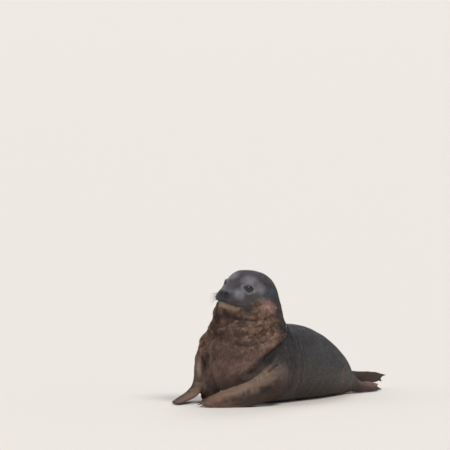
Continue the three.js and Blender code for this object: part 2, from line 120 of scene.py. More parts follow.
def floor_sheet():
    """A disc of rings: height is the square of the reach past the flat part over the sweep."""
    rings = np.concatenate([[1.0], np.linspace(FLOOR_FLAT, FLOOR_REACH, FLOOR_RINGS)])
    reach, angle = round_grid(rings, FLOOR_SIDES)
    height = np.maximum(reach - FLOOR_FLAT, 0) ** 2 / FLOOR_SWEEP
    points = np.stack([reach * np.cos(angle), reach * np.sin(angle), height], -1)
    index = np.arange(reach.size).reshape(reach.shape)
    on = np.roll(index, -1, axis=1)
    quads = np.stack([index[:-1], index[1:], on[1:], on[:-1]], -1).reshape(-1, 4)
    hub = np.stack([index[0], on[0], np.full(len(on[0]), reach.size)], -1)
    return np.concatenate([points.reshape(-1, 3), [(0, 0, 0)]]), quads, hub


floor = new_piece("floor", *floor_sheet())
smooth(floor)
floor_paper, _, _ = new_material("floor_paper", FLOOR_COLOR, FLOOR_ROUGHNESS)
floor.data.materials.append(floor_paper)


# Studio light
# A broad key lamp high on the right of the camera, a softer one on its left and a rim lamp behind
# the pup, all far away, in a plain bright room.
ROOM_COLOR, ROOM_STRENGTH = (0.97, 0.98, 1.0, 1), 0.42


def lamp(name, place, strength, spread, color):
    """A far, soft lamp that shines from the given side on the pup; spread is its width in degrees."""
    light = bpy.data.lights.new(name, "SUN")
    light.energy, light.angle, light.color = strength, math.radians(spread), color
    holder = bpy.data.objects.new(name, light)
    holder.location = place
    holder.rotation_euler = (-holder.location).to_track_quat("-Z", "Y").to_euler()
    bpy.context.scene.collection.objects.link(holder)


lamp("key_lamp", (-0.5, -3.4, 4.2), strength=2.3, spread=22, color=(1.0, 0.97, 0.93))
lamp("left_lamp", (-4.0, 1.2, 2.6), strength=0.7, spread=50, color=(0.95, 0.97, 1.0))
lamp("rim_lamp", (3.5, 2.0, 3.0), strength=0.9, spread=30, color=(0.97, 0.98, 1.0))
room = bpy.data.worlds.new("room")
bpy.context.scene.world = room
room.use_nodes = True
room.node_tree.nodes["Background"].inputs["Color"].default_value = ROOM_COLOR
room.node_tree.nodes["Background"].inputs["Strength"].default_value = ROOM_STRENGTH


# Trunk
# Neck, chest, belly and rump are one sack of skin over blubber, round in section, with the neck
# raised and bent back over the shoulders. A short flat tail stands out between the hind flippers.

# Sections along the bent middle line, in millimetres and degrees: x and z of the middle, heading
# above +X, half width, reach to the back, reach to the belly, and roundness.
TRUNK = np.array([
    (-128, 486, -72, 10, 10, 10, 0.95),
    (-130, 474, -76, 52, 44, 52, 0.95),
    (-136, 448, -82, 86, 78, 88, 0.95),
    (-145, 412, -86, 107, 98, 108, 0.93),
    (-155, 370, -88, 123, 109, 122, 0.93),
    (-162, 325, -85, 136, 119, 127, 0.93),
    (-155, 280, -74, 151, 118, 145, 0.9),
    (-136, 238, -58, 165, 118, 172, 0.87),
    (-98, 192, -40, 171, 126, 204, 0.83),
    (-42, 160, -22, 169, 138, 176, 0.84),
    (24, 141, -8, 163, 151, 147, 0.86),
    (92, 131, -4, 156, 156, 138, 0.88),
    (165, 120, -8, 144, 143, 128, 0.9),
    (238, 104, -12, 125, 121, 112, 0.92),
    (305, 85, -14, 101, 99, 92, 0.95),
    (362, 67, -14, 77, 74, 73, 0.95),
    (408, 55, -10, 53, 49, 56, 0.95),
    (440, 49, -8, 33, 32, 42, 0.95),
    (455, 46, -8, 10, 12, 14, 0.95),
])
# The coat is this deep over the skin of the trunk.
TRUNK_COAT = 3.0
# The sections at the neck's root, the breast and the back of the chest.
NECK_ROOT, BREAST, CHEST_BACK = 6, 7, 10
# Soft rolls across the belly: height, distance from one to the next, first place and reach.
ROLL_HEIGHT, ROLL_PITCH, ROLL_START, ROLL_REACH = 3.5, 46, 60, 270
# The tail's sections: x and z of the middle, half width and half thickness.
TAIL = np.array([(404, 62, 30, 18), (448, 60, 23, 12), (484, 53, 14, 7), (494, 50, 5, 3)])


def through(xs, ys):
    """The monotone cubic through the points (xs, ys). Its slope at a point is the weighted harmonic
    mean of the slopes of the two spans that meet there, or 0 where they differ in sign."""
    xs, ys = np.asarray(xs, float), np.asarray(ys, float)
    width = np.diff(xs)
    rise = np.diff(ys) / width
    before, after = rise[:-1], rise[1:]
    a, b = 2 * width[1:] + width[:-1], width[1:] + 2 * width[:-1]
    slope = np.concatenate([rise[:1], np.zeros(len(before)), rise[-1:]])
    same = np.flatnonzero(before * after > 0)
    slope[same + 1] = (a + b)[same] / (a[same] / before[same] + b[same] / after[same])

    def curve(x):
        i = np.clip(np.searchsorted(xs, x) - 1, 0, len(width) - 1)
        t = (x - xs[i]) / width[i]
        s, h = 1 - t, width[i]
        return (
            ys[i] * s * s * (1 + 2 * t) + slope[i] * h * t * s * s
            + ys[i + 1] * t * t * (3 - 2 * t) - slope[i + 1] * h * t * t * s
        )

    return curve


def signed_power(value, power):
    """The absolute value to a power, with the sign put back."""
    return np.sign(value) * np.abs(value) ** power


trunk_places = np.concatenate([[0], np.cumsum(np.hypot(*np.diff(TRUNK[:, :2], axis=0).T))])
trunk_curves = [through(trunk_places, column) for column in TRUNK.T]
neck_root_at, breast_at, back_at = trunk_places[[NECK_ROOT, BREAST, CHEST_BACK]]


def trunk_surface(place, angle):
    """The trunk at a place along it and an angle round it: the middle, plus half width times the
    powered cosine across, plus the reach times the powered sine square to the heading. Rolls are
    a cosine along the belly."""
    x, z, heading, side, back, belly, roundness = (curve(place) for curve in trunk_curves)
    heading = np.radians(heading)
    across = signed_power(np.cos(angle), roundness)
    up = signed_power(np.sin(angle), roundness)
    inside = np.clip((place - ROLL_START) / ROLL_REACH, 0, 1)
    below = np.clip(0.5 - 0.9 * up, 0, 1)
    roll = ROLL_HEIGHT * below * np.sin(np.pi * inside) * np.cos(2 * np.pi * place / ROLL_PITCH)
    swell = roll - TRUNK_COAT
    reach = np.where(up > 0, back, belly) + swell
    return np.stack([
        x - np.sin(heading) * up * reach,
        across * np.maximum(side + swell, 2),
        z + np.cos(heading) * up * reach,
    ], -1)


def tube(points):
    """Faces of a closed tube over an (r, k, 3) grid whose k direction closes on itself. A point is
    added in the middle of each end. Gives back the points, the quads and the end triangles."""
    r, k = points.shape[:2]
    index = np.arange(r * k).reshape(r, k)
    on = np.roll(index, -1, axis=1)
    quads = np.stack([index[:-1], on[:-1], on[1:], index[1:]], -1).reshape(-1, 4)
    first, last = np.full(k, r * k), np.full(k, r * k + 1)
    ends = np.concatenate([
        np.stack([on[0], index[0], first], -1), np.stack([index[-1], on[-1], last], -1)
    ])
    middles = [points[0].mean(0), points[-1].mean(0)]
    return np.concatenate([points.reshape(-1, 3), middles]), quads, ends


flesh = []
flesh.append(tube(trunk_surface(*round_grid(np.linspace(0, trunk_places[-1], 220), 160))))
tail_curves = [through(np.arange(len(TAIL)), column) for column in TAIL.T]
along, angle = round_grid(np.linspace(0, len(TAIL) - 1, 30), 48)
x, z, side, thick = (curve(along) for curve in tail_curves)
flesh.append(tube(np.stack([x, side * np.cos(angle), z + thick * np.sin(angle)], -1)))


# Head
# A short, blunt, round-cheeked skull under fur, turned a little to its left and leaning that way,
# with full whisker pads, a soft chin and a bare nose pad. It grows out of the neck with no seam.

# In the head's own frame u runs forward to the nose, v to the left and w up. Turn, pitch and lean
# are in degrees. Sections of the skull: u, height of the middle, half width, reach up and reach down.
HEAD_CENTRE = np.array([-160, 0, 428])
HEAD_TURN, NOSE_UP, HEAD_LEAN = 4, 1, 9
HEAD_ROUND = 0.93
HEAD_COAT = 1.5
SKULL = np.array([
    (154, -16, 10, 8, 8),
    (150, -17, 27, 19, 22),
    (137, -20, 42, 27, 36),
    (116, -20, 52, 36, 49),
    (91, -15, 62, 47, 61),
    (64, -8, 73, 59, 72),
    (36, -2, 86, 69, 84),
    (6, 0, 95, 75, 92),
    (-24, 0, 97, 75, 95),
    (-54, -4, 90, 70, 88),
    (-80, -8, 70, 52, 68),
    (-98, -12, 36, 28, 36),
    (-103, -13, 8, 8, 8),
])
# Balls of flesh on the muzzle, as centre and radii.
WHISKER_PAD = ((123, 25, -29), (30, 26, 23))
CHIN = ((104, 0, -64), (41, 44, 32))
NOSE_PAD = ((146, 0, -12), (13, 19, 13))
# The left eye's centre, radius and the way it looks, and its lids: thickness, half width and half
# height of the gap, and its slant in degrees.
EYE_PLACE, EYE_RADIUS, EYE_LOOK = (66, 43, 15), 21, (0.56, 0.82, 0.12)
LID_THICK, LID_WIDE, LID_HIGH, LID_SLANT = 3, 17.5, 8.6, 8

head_axes = np.array(
    Matrix.Rotation(math.pi + math.radians(HEAD_TURN), 3, "Z")
    @ Matrix.Rotation(-math.radians(NOSE_UP), 3, "Y")
    @ Matrix.Rotation(-math.radians(HEAD_LEAN), 3, "X")
)


def unit(vectors):
    """Each row at length 1."""
    return vectors / np.maximum(np.linalg.norm(vectors, axis=-1, keepdims=True), 1e-12)


def to_head(points):
    """From the pup's frame to the head's, both in millimetres."""
    return (points - HEAD_CENTRE) @ head_axes


def from_head(points):
    """From the head's frame to the pup's, both in millimetres."""
    return points @ head_axes.T + HEAD_CENTRE


def ball(centre, radii, rows=48, pole_gap=0.04):
    """An ellipsoid as a closed tube from near one pole to near the other, in the head's frame."""
    polar, angle = round_grid(np.linspace(pole_gap, np.pi - pole_gap, rows), 2 * rows)
    shape = np.stack([np.sin(polar) * np.cos(angle), np.sin(polar) * np.sin(angle), -np.cos(polar)], -1)
    return tube(from_head(np.asarray(centre) + np.asarray(radii) * shape))


def mirrored(place, side):
    """A place in the head's frame on the given side, 1 for left and -1 for right."""
    return np.asarray(place) * (1, side, 1)


def eye_axes(side):
    """The way an eye looks, the level line across it and the upright one, each at length 1."""
    look = mirrored(EYE_LOOK, side)
    look = look / np.linalg.norm(look)
    level = unit(np.cross((0, 0, 1), look))
    return look, level, np.cross(look, level)


skull_curves = [through(-SKULL[:, 0], column) for column in SKULL.T[1:]]
turned, angle = round_grid(np.cos(np.linspace(0, np.pi, 120)), 120)
u = (SKULL[0, 0] + SKULL[-1, 0]) / 2 + (SKULL[0, 0] - SKULL[-1, 0]) / 2 * turned
middle, side, top, under = (curve(-u) for curve in skull_curves)
up = signed_power(np.sin(angle), HEAD_ROUND)
reach = np.where(up > 0, top, under) - HEAD_COAT
across = signed_power(np.cos(angle), HEAD_ROUND)
flesh.append(tube(from_head(np.stack([
    u - HEAD_COAT * turned, across * (side - HEAD_COAT), middle + up * reach
], -1))))
flesh.append(ball(CHIN[0], np.array(CHIN[1]) - HEAD_COAT))
flesh.append(ball(NOSE_PAD[0], np.array(NOSE_PAD[1]) - HEAD_COAT / 2))
for side in (1, -1):
    flesh.append(ball(mirrored(WHISKER_PAD[0], side), np.array(WHISKER_PAD[1]) - HEAD_COAT))
    flesh.append(ball(mirrored(EYE_PLACE, side), np.full(3, EYE_RADIUS + LID_THICK - 0.5)))


# Flippers
# Each fore limb shows from the shoulder's fold: a thick arm, a wrist that bends, and a flat hand of
# five digits joined by skin, the first the longest. The hind flippers trail shut behind.

# Sizes: the share of the length, half breadth and half thickness. A course: the middle line, with
# the way that its leading edge points at each place. Lengths: how far each digit stands out.
FORE_SIZES = np.array([
    (0, 56, 38), (0.2, 70, 40), (0.42, 66, 31), (0.62, 49, 20), (0.8, 47, 12), (0.93, 40, 7), (1, 30, 3.5)
])
FORE_LEFT = np.array([
    (-60, -92, 212, -0.75, -0.1, 0.65),
    (-108, -128, 170, -0.72, -0.1, 0.66),
    (-174, -150, 100, -0.5, 0.05, 0.85),
    (-258, -128, 60, -0.2, 0.1, 0.97),
    (-340, -62, 25, -0.1, 0.55, 0.82),
    (-404, 2, 8, 0.3, 0.76, 0.5),
])
FORE_RIGHT = np.array([
    (-110, 110, 258, -0.8, 0, 0.6),
    (-154, 152, 216, -0.85, -0.1, 0.5),
    (-200, 184, 140, -0.85, -0.4, 0.3),
    (-222, 196, 62, -0.6, -0.8, 0.25),
    (-292, 184, 25, -0.1, -0.98, 0.2),
    (-386, 162, 8, 0.1, -0.99, 0.08),
])
FORE_LENGTHS = (26, 20, 10, -2, -16)
HIND_SIZES = np.array([(0, 32, 24), (0.25, 28, 18), (0.5, 27, 12), (0.8, 25, 7), (1, 19, 3.5)])
HIND_LEFT = np.array([
    (380, -22, 36, 0, 0.4, 0.9),
    (446, -28, 27, 0, 0.5, 0.85),
    (518, -30, 22, 0, 0.65, 0.75),
    (588, -30, 17, 0, 0.75, 0.65),
])
HIND_RIGHT = np.array([
    (380, 22, 56, 0.1, -0.25, 0.95),
    (460, 30, 58, 0.1, -0.25, 0.95),
    (572, 34, 52, 0.05, -0.35, 0.93),
    (686, 30, 42, 0, -0.5, 0.86),
])
HIND_LENGTHS = (22, 4, -8, 2, 14)
# Each limb's course, sizes, digit lengths, and the share of its length where the hand begins.
LIMBS = {
    "fore_left": (FORE_LEFT, FORE_SIZES, FORE_LENGTHS, 0.62),
    "fore_right": (FORE_RIGHT, FORE_SIZES, FORE_LENGTHS, 0.62),
    "hind_left": (HIND_LEFT, HIND_SIZES, HIND_LENGTHS, 0.4),
    "hind_right": (HIND_RIGHT, HIND_SIZES, HIND_LENGTHS, 0.4),
}
# The fold of flesh behind the right arm, as centre and radii.
ARMPIT = ((-210, 148, 74), (36, 44, 88))
# The coat is this deep over the skin of the limbs.
LIMB_COAT = 1.2
# The thinnest web that the fused skin can hold whole, as half a thickness.
WEB_HALF = 3.7
# Where the digits lie across a flipper, from 1 at its leading edge to -1, and half the depth of the
# notch between two.
DIGIT_ACROSS = 0.8 - 0.4 * np.arange(5)
NOTCH_HALF = 3.5


def step(low, high, x):
    """0 below low, 1 above high, and a smooth S between them. High may be the lower one."""
    t = np.clip((x - low) / (high - low), 0, 1)
    return t * t * (3 - 2 * t)


def limb_frame(course, along):
    """At each share of a limb's length: the middle on a monotone cubic through the course, the way
    on as its slope, the leading edge square to that, and the back square to both."""
    places = np.concatenate([[0], np.cumsum(np.linalg.norm(np.diff(course[:, :3], axis=0), axis=1))])
    places /= places[-1]
    curves = [through(places, column) for column in course[:, :3].T]
    middle = np.stack([curve(along) for curve in curves], -1)
    ahead = np.stack([curve(along + 0.004) for curve in curves], -1)
    behind = np.stack([curve(along - 0.004) for curve in curves], -1)
    onward = unit(ahead - behind)
    edge = np.stack([np.interp(along, places, column) for column in course[:, 3:].T], -1)
    edge = unit(edge - (edge * onward).sum(-1, keepdims=True) * onward)
    return middle, onward, edge, np.cross(onward, edge)


def digit_wave(across):
    """1 on the middle of each digit and -1 in the web between two."""
    return np.cos(5 * np.pi * (across - DIGIT_ACROSS[0]))


def tip_reach(across, lengths):
    """How far the flipper's end stands past the last point of the course, scalloped by digits."""
    reach = through([-1, *-DIGIT_ACROSS, 1], [lengths[0] - 8, *lengths, lengths[-1] - 8])
    return reach(-across) + NOTCH_HALF * (digit_wave(across) - 1)


def limb_surface(limb, along, angle):
    """The limb's skin: middle, plus half breadth times the cosine along the leading edge, plus half
    thickness times the sine, raised on each digit, plus the digits' own lengths towards the tip."""
    course, sizes, lengths, hand_from = LIMBS[limb]
    middle, onward, edge, back = limb_frame(course, along)
    broad, thick = (through(sizes[:, 0], column)(along) - LIMB_COAT for column in sizes.T[1:])
    hand = step(hand_from, 1, along)
    across = np.cos(angle)
    ridge = 1 + 0.2 * np.minimum(1, 3 * hand) * digit_wave(across)
    return (
        middle
        + (broad * across)[..., None] * edge
        + (np.maximum(thick, WEB_HALF) * np.sin(angle) * ridge)[..., None] * back
        + (hand * tip_reach(across, lengths))[..., None] * onward
    )


def blade_end(points, quads, ends):
    """A tube whose last ring is closed by a strip from its upper half to its lower one, so that the
    end follows the digits instead of running to a point."""
    sides = len(ends) // 2
    ring = len(points) - 2 - sides + np.arange(sides)
    upper, lower = ring[:sides // 2 + 1], np.roll(ring[::-1], 1)[:sides // 2 + 1]
    strip = np.concatenate([
        np.stack([upper[:-2], upper[1:-1], lower[1:-1]], -1),
        np.stack([upper[1:-1], lower[2:], lower[1:-1]], -1),
    ])
    return points, quads, np.concatenate([ends[:sides], strip])


along, angle = round_grid(1 - (1 - np.linspace(0, 1, 110)) ** 1.2, 120)
for limb in LIMBS:
    flesh.append(blade_end(*tube(limb_surface(limb, along, angle))))
armpit_points, armpit_quads, armpit_ends = ball((0, 0, 0), (1, 1, 1), 24)
armpit_points = to_head(armpit_points) * (np.array(ARMPIT[1]) - LIMB_COAT) + ARMPIT[0]
flesh.append((armpit_points, armpit_quads, armpit_ends))


# One skin
# All flesh is fused into one closed hide, relaxed where limbs and head join the trunk, made finer
# on the face, and then given its lids, lips, nostrils, folds and wrinkles.
MM = 0.001
SKIN_CELL = 0.0045
# Loose skin behind the right arm, which is relaxed more: its middle, reach and soft edge.
ARM_SLACK, SLACK_REACH, SLACK_EDGE = (-180, 150, 60), 95, 40
# The middle of the mouth and of the snout, in the head's frame.
MOUTH_MIDDLE, SNOUT_MIDDLE = (128, 0, -30), (110, 0, -10)
# Every random draw starts from this.
SEED = 41


def joined(pieces):
    """Several closed tubes as one set of points, quads and end triangles."""
    starts = np.cumsum([0] + [len(points) for points, _, _ in pieces])
    return (
        np.concatenate([points for points, _, _ in pieces]),
        np.concatenate([quads + start for (_, quads, _), start in zip(pieces, starts)]),
        np.concatenate([ends + start for (_, _, ends), start in zip(pieces, starts)]),
    )


def face_outward(piece):
    """Turns every face of closed shells outwards."""
    shell = bmesh.new()
    shell.from_mesh(piece.data)
    bmesh.ops.recalc_face_normals(shell, faces=shell.faces)
    shell.to_mesh(piece.data)
    shell.free()


hide_points, hide_quads, hide_ends = joined(flesh)
skin = new_piece("skin", hide_points * MM, hide_quads, hide_ends)
face_outward(skin)
fuse = skin.modifiers.new("fuse", "REMESH")
fuse.mode, fuse.voxel_size = "VOXEL", SKIN_CELL
fused = bpy.data.meshes.new_from_object(skin.evaluated_get(bpy.context.evaluated_depsgraph_get()))
skin.modifiers.clear()
skin.data = fused


def points_of(mesh):
    """The points of a mesh in millimetres."""
    points = np.empty(len(mesh.vertices) * 3, np.float32)
    mesh.vertices.foreach_get("co", points)
    return points.reshape(-1, 3).astype(float) / MM


def normals_of(mesh):
    """The unit normals at the points of a mesh."""
    normals = np.empty(len(mesh.vertices) * 3, np.float32)
    mesh.vertex_normals.foreach_get("vector", normals)
    return normals.reshape(-1, 3).astype(float)


def move_points(mesh, points):
    """Puts millimetre points back into a mesh."""
    mesh.vertices.foreach_set("co", (points * MM).astype(np.float32).ravel())
    mesh.update()


def edges_of(mesh):
    """The two points of each edge."""
    edges = np.empty(len(mesh.edges) * 2, np.int32)
    mesh.edges.foreach_get("vertices", edges)
    return edges.reshape(-1, 2)


def relax(values, edges, weight, rounds):
    """Each round takes every row the share weight of the way to the mean of its neighbours."""
    count = np.maximum(np.bincount(edges.ravel(), minlength=len(values)), 1)
    for _ in range(rounds):
        mean = np.stack([
            np.bincount(edges[:, 0], column[edges[:, 1]], len(values))
            + np.bincount(edges[:, 1], column[edges[:, 0]], len(values))
            for column in values.T
        ], -1) / count[:, None]
        values = values + weight[:, None] * (mean - values)
    return values


trunk_samples = np.linspace(0, trunk_places[-1], 240)
trunk_rows = np.stack([curve(trunk_samples) for curve in trunk_curves], -1)


def on_trunk(points):
    """Where points lie on the trunk: the place of the nearest middle, the share of the reach
    upwards and to the left, how far outside the skin they are, and the way the body runs on."""
    gap_x = points[:, None, 0] - trunk_rows[None, :, 0]
    gap_z = points[:, None, 2] - trunk_rows[None, :, 1]
    nearest = (gap_x**2 + gap_z**2).argmin(1)
    x, z, heading, side, back, belly, _ = trunk_rows[nearest].T
    heading = np.radians(heading)
    rise = -np.sin(heading) * (points[:, 0] - x) + np.cos(heading) * (points[:, 2] - z)
    reach = np.where(rise > 0, back, belly)
    share = np.hypot(rise / reach, points[:, 1] / side)
    outside = (share - 1) * np.minimum(reach, side)
    onward = np.stack([np.cos(heading), np.zeros(len(x)), np.sin(heading)], -1)
    return trunk_samples[nearest], rise / reach, -points[:, 1] / side, outside, onward


def on_head(points):
    """Where points lie on the head: its own coordinates, and how far outside the skull they are."""
    places = to_head(points)
    middle, side, top, under = (curve(np.clip(-places[:, 0], -150, 100)) for curve in skull_curves)
    rise = places[:, 2] - middle
    share = np.hypot(rise / np.where(rise > 0, top, under), places[:, 1] / side)
    beyond = np.maximum(places[:, 0] - 150, 0) + np.maximum(-100 - places[:, 0], 0)
    return places, (share - 1) * np.minimum(side, 60) + beyond


limb_samples = np.linspace(0, 1, 90)


def on_limb(points, limb):
    """Where points lie on a limb: the share of its length, the shares across it and towards its
    back, how far outside its skin they are, and the way it runs on."""
    course, sizes, _, _ = LIMBS[limb]
    middle, onward, edge, back = limb_frame(course, limb_samples)
    nearest = ((points[:, None] - middle[None]) ** 2).sum(-1).argmin(1)
    broad, thick = (through(sizes[:, 0], column)(limb_samples[nearest]) for column in sizes.T[1:])
    offset = points - middle[nearest]
    across = (offset * edge[nearest]).sum(1) / broad
    raised = (offset * back[nearest]).sum(1) / thick
    past = (offset * onward[nearest]).sum(1)
    outside = (np.hypot(across, raised) - 1) * np.maximum(thick, 12) + np.maximum(np.abs(past) - 30, 0)
    return limb_samples[nearest], across, raised, outside, onward[nearest]


def places_of(points):
    """Every coordinate of points on the parts of the body, worked out in slices to spare memory."""
    slices = [points[i:i + 20000] for i in range(0, len(points), 20000)]
    trunk = [np.concatenate(part) for part in zip(*map(on_trunk, slices))]
    head = [np.concatenate(part) for part in zip(*map(on_head, slices))]
    limbs = {
        limb: [np.concatenate(part) for part in zip(*(on_limb(piece, limb) for piece in slices))]
        for limb in LIMBS
    }
    outside = np.stack([trunk[3], head[1], *(limbs[limb][3] for limb in LIMBS)], -1)
    return trunk, head, limbs, outside


def bell(x, width):
    """1 at 0, falling away on both sides by a bell curve of the given width."""
    return np.exp(-((x / width) ** 2))


def far_along(limbs, start, full, nearness):
    """Rises along each limb from 0 at start to 1 at full, times how near its skin is; the most of all."""
    return np.max([step(start, full, limb[0]) * nearness(limb[3]) for limb in limbs.values()], axis=0)


# A joint is where a point lies near two parts of the body at once.
points, edges = points_of(skin.data), edges_of(skin.data)
trunk, head, limbs, outside = places_of(points)
second = np.sort(np.abs(outside), axis=1)[:, 1]
hand_skin = far_along(limbs, 0.5, 0.7, lambda out: out < 8)
joint = bell(second, 26) * (1 - hand_skin)
face = step(30, 60, head[0][:, 0]) * (head[1] < 25)
arm_front = np.max([
    step(-0.2, 0.4, across) * step(0.1, 0.22, along) * step(0.75, 0.6, along) * (np.abs(out) < 30)
    for along, across, _, out, _ in (limbs["fore_left"], limbs["fore_right"])
], axis=0)
joint *= 1 - 0.85 * arm_front
slack = step(SLACK_REACH, SLACK_REACH - SLACK_EDGE, np.linalg.norm(points - ARM_SLACK, axis=1))
behind_arm = slack * step(-226, -206, points[:, 0])
joint = np.maximum(joint, behind_arm)
points = relax(points, edges, 0.5 * joint * (1 - 0.85 * face), 70)
points = relax(points, edges, 0.35 * (1 - hand_skin) * (1 - face), 6)
points = relax(points, edges, np.full(len(points), 0.2), 2)
tips = far_along(limbs, 0.86, 0.96, lambda out: out < 12)
points = relax(points, edges, 0.4 * tips, 5)
move_points(skin.data, points)

# The face needs cells a quarter as wide round its eyes, nose and mouth.
shell = bmesh.new()
shell.from_mesh(skin.data)
for near_eye, near_mouth in ((46, 62), (33, 46)):
    shell.verts.ensure_lookup_table()
    here = to_head(np.array([v.co for v in shell.verts]) / MM)
    eye_gap = np.min([np.linalg.norm(here - mirrored(EYE_PLACE, side), axis=1) for side in (1, -1)], axis=0)
    mouth_gap = np.linalg.norm((here - MOUTH_MIDDLE) / (1, 1, 0.9), axis=1)
    wanted = (eye_gap < near_eye) | (mouth_gap < near_mouth)
    cut = [edge for edge in shell.edges if wanted[edge.verts[0].index] and wanted[edge.verts[1].index]]
    bmesh.ops.subdivide_edges(shell, edges=cut, cuts=1, use_grid_fill=True)
    shell.verts.index_update()
shell.to_mesh(skin.data)
shell.free()


def lumps(points, size, seed=0):
    """Soft noise between -1 and 1: random values on a lattice of the given size in millimetres,
    blended between the eight corners of each cell by smooth S curves."""
    cells = np.random.default_rng(SEED + seed).uniform(-1, 1, (32, 32, 32))
    scaled = points / size
    base = np.floor(scaled).astype(int)
    t = scaled - base
    t = t * t * (3 - 2 * t)
    total = 0
    for corner in np.ndindex(2, 2, 2):
        weight = np.prod(np.where(corner, t, 1 - t), axis=1)
        total = total + weight * cells[tuple(((base + corner) % 32).T)]
    return total


points, edges = points_of(skin.data), edges_of(skin.data)
trunk, head, limbs, outside = places_of(points)
near_face = step(46, 30, np.linalg.norm(head[0] - SNOUT_MIDDLE, axis=1) - 50)
points = relax(points, edges, 0.4 * near_face, 6)
here = to_head(points)

# Lids: an almond gap down to the eyeball, a thin lid round it, and a crease outside that.
lid_rim, pale_ring = np.zeros(len(points)), np.zeros(len(points))
for side in (1, -1):
    look, level, upright = eye_axes(side)
    slant = -side * math.radians(LID_SLANT)
    lid_u = math.cos(slant) * level + math.sin(slant) * upright
    lid_v = np.cross(look, lid_u)
    offset = here - mirrored(EYE_PLACE, side)
    distance = np.linalg.norm(offset, axis=1)
    a, b, c = offset @ lid_u, offset @ lid_v, offset @ look
    gap = LID_HIGH * (1 - np.minimum((a / LID_WIDE) ** 2, 1)) - np.abs(b)
    gap = np.where(np.abs(a) > LID_WIDE, -np.hypot(np.abs(a) - LID_WIDE, b), gap)
    front = (c > 2) & (distance < 40)
    lid = EYE_RADIUS + 2.0 + 0.9 * bell(gap + 2.2, 1.6)
    wanted = lid + (EYE_RADIUS - 2.5 - lid) * step(-0.7, 0.7, gap)
    share = np.where(front, step(-13, -3.5, gap), 0)
    crease = 0.9 * bell(gap + 6.5, 1.5) + 0.6 * bell(gap + 11, 2)
    moved = distance + share * (wanted - distance) - np.where(front, crease, 0)
    here = mirrored(EYE_PLACE, side) + offset * (moved / distance)[:, None]
    lid_rim = np.maximum(lid_rim, np.where(front, step(-5.5, -1.0, gap), 0))
    pale_ring = np.maximum(pale_ring, np.where(front, bell(gap + 10, 4), 0))

# Mouth: a line round the muzzle under a soft upper lip, dropping towards the corners, and a fold
# down the middle from the nose.
MOUTH_U, MOUTH_W, MOUTH_DIP, MOUTH_SWEEP = 84, -39, 9, 88
LIP_CUT, UPPER_LIP, LOWER_LIP, PHILTRUM_DEPTH = 4.2, 1.6, 0.8, 2.4
bearing = np.arctan2(here[:, 1], here[:, 0] - MOUTH_U)
mouth_line = MOUTH_W - MOUTH_DIP * np.abs(np.sin(bearing)) + 3 * np.cos(3 * bearing)
on_muzzle = step(MOUTH_SWEEP, MOUTH_SWEEP - 14, np.degrees(np.abs(bearing))) * (here[:, 0] > 60)
above = here[:, 2] - mouth_line
lip_push = on_muzzle * (
    -LIP_CUT * bell(above, 1.7) + UPPER_LIP * bell(above - 4.5, 3) + LOWER_LIP * bell(above + 5, 3)
)
philtrum = bell(here[:, 1], 1.5) * step(132, 140, here[:, 0])
philtrum = philtrum * step(-42, -36, here[:, 2]) * step(-17, -22, here[:, 2])
lip_push -= PHILTRUM_DEPTH * philtrum
outward = unit(np.stack([here[:, 0] - MOUTH_U, here[:, 1], np.zeros(len(here))], -1))
here = here + lip_push[:, None] * outward
mouth_dark = on_muzzle * bell(above, 2.2)

# Nostrils: two slanting slits that close over the nose pad, each with a raised rim.
NOSTRIL_V, NOSTRIL_W, NOSTRIL_HALF_V, NOSTRIL_HALF_W, NOSTRIL_SLANT = 9.5, -9, 2.6, 6.8, 28
NOSTRIL_DEPTH, NOSTRIL_RIM = 8, 1.3
nostril_dark = np.zeros(len(points))
for side in (1, -1):
    slant = side * math.radians(NOSTRIL_SLANT)
    v, w = here[:, 1] - side * NOSTRIL_V, here[:, 2] - NOSTRIL_W
    across = (v * math.cos(slant) - w * math.sin(slant)) / NOSTRIL_HALF_V
    along = (v * math.sin(slant) + w * math.cos(slant)) / NOSTRIL_HALF_W
    ring = np.hypot(across, along)
    ahead = here[:, 0] > 135
    nostril = -NOSTRIL_DEPTH * step(1.15, 0.35, ring) + NOSTRIL_RIM * bell(ring - 1.6, 0.45)
    here[:, 0] += np.where(ahead, nostril, 0)
    nostril_dark = np.maximum(nostril_dark, np.where(ahead, step(1.35, 0.7, ring), 0))

# Ears: a pit the width of a pencil behind each eye.
EAR_PLACE, EAR_DEPTH = (4, 95, 6), 4
ear_dark = np.zeros(len(points))
for side in (1, -1):
    gap = np.linalg.norm((here - mirrored(EAR_PLACE, side)) / (1.5, 3, 1), axis=1)
    here[:, 1] -= side * EAR_DEPTH * step(5, 1.5, gap)
    ear_dark = np.maximum(ear_dark, step(6, 2.5, gap))
points = from_head(here)
move_points(skin.data, points)

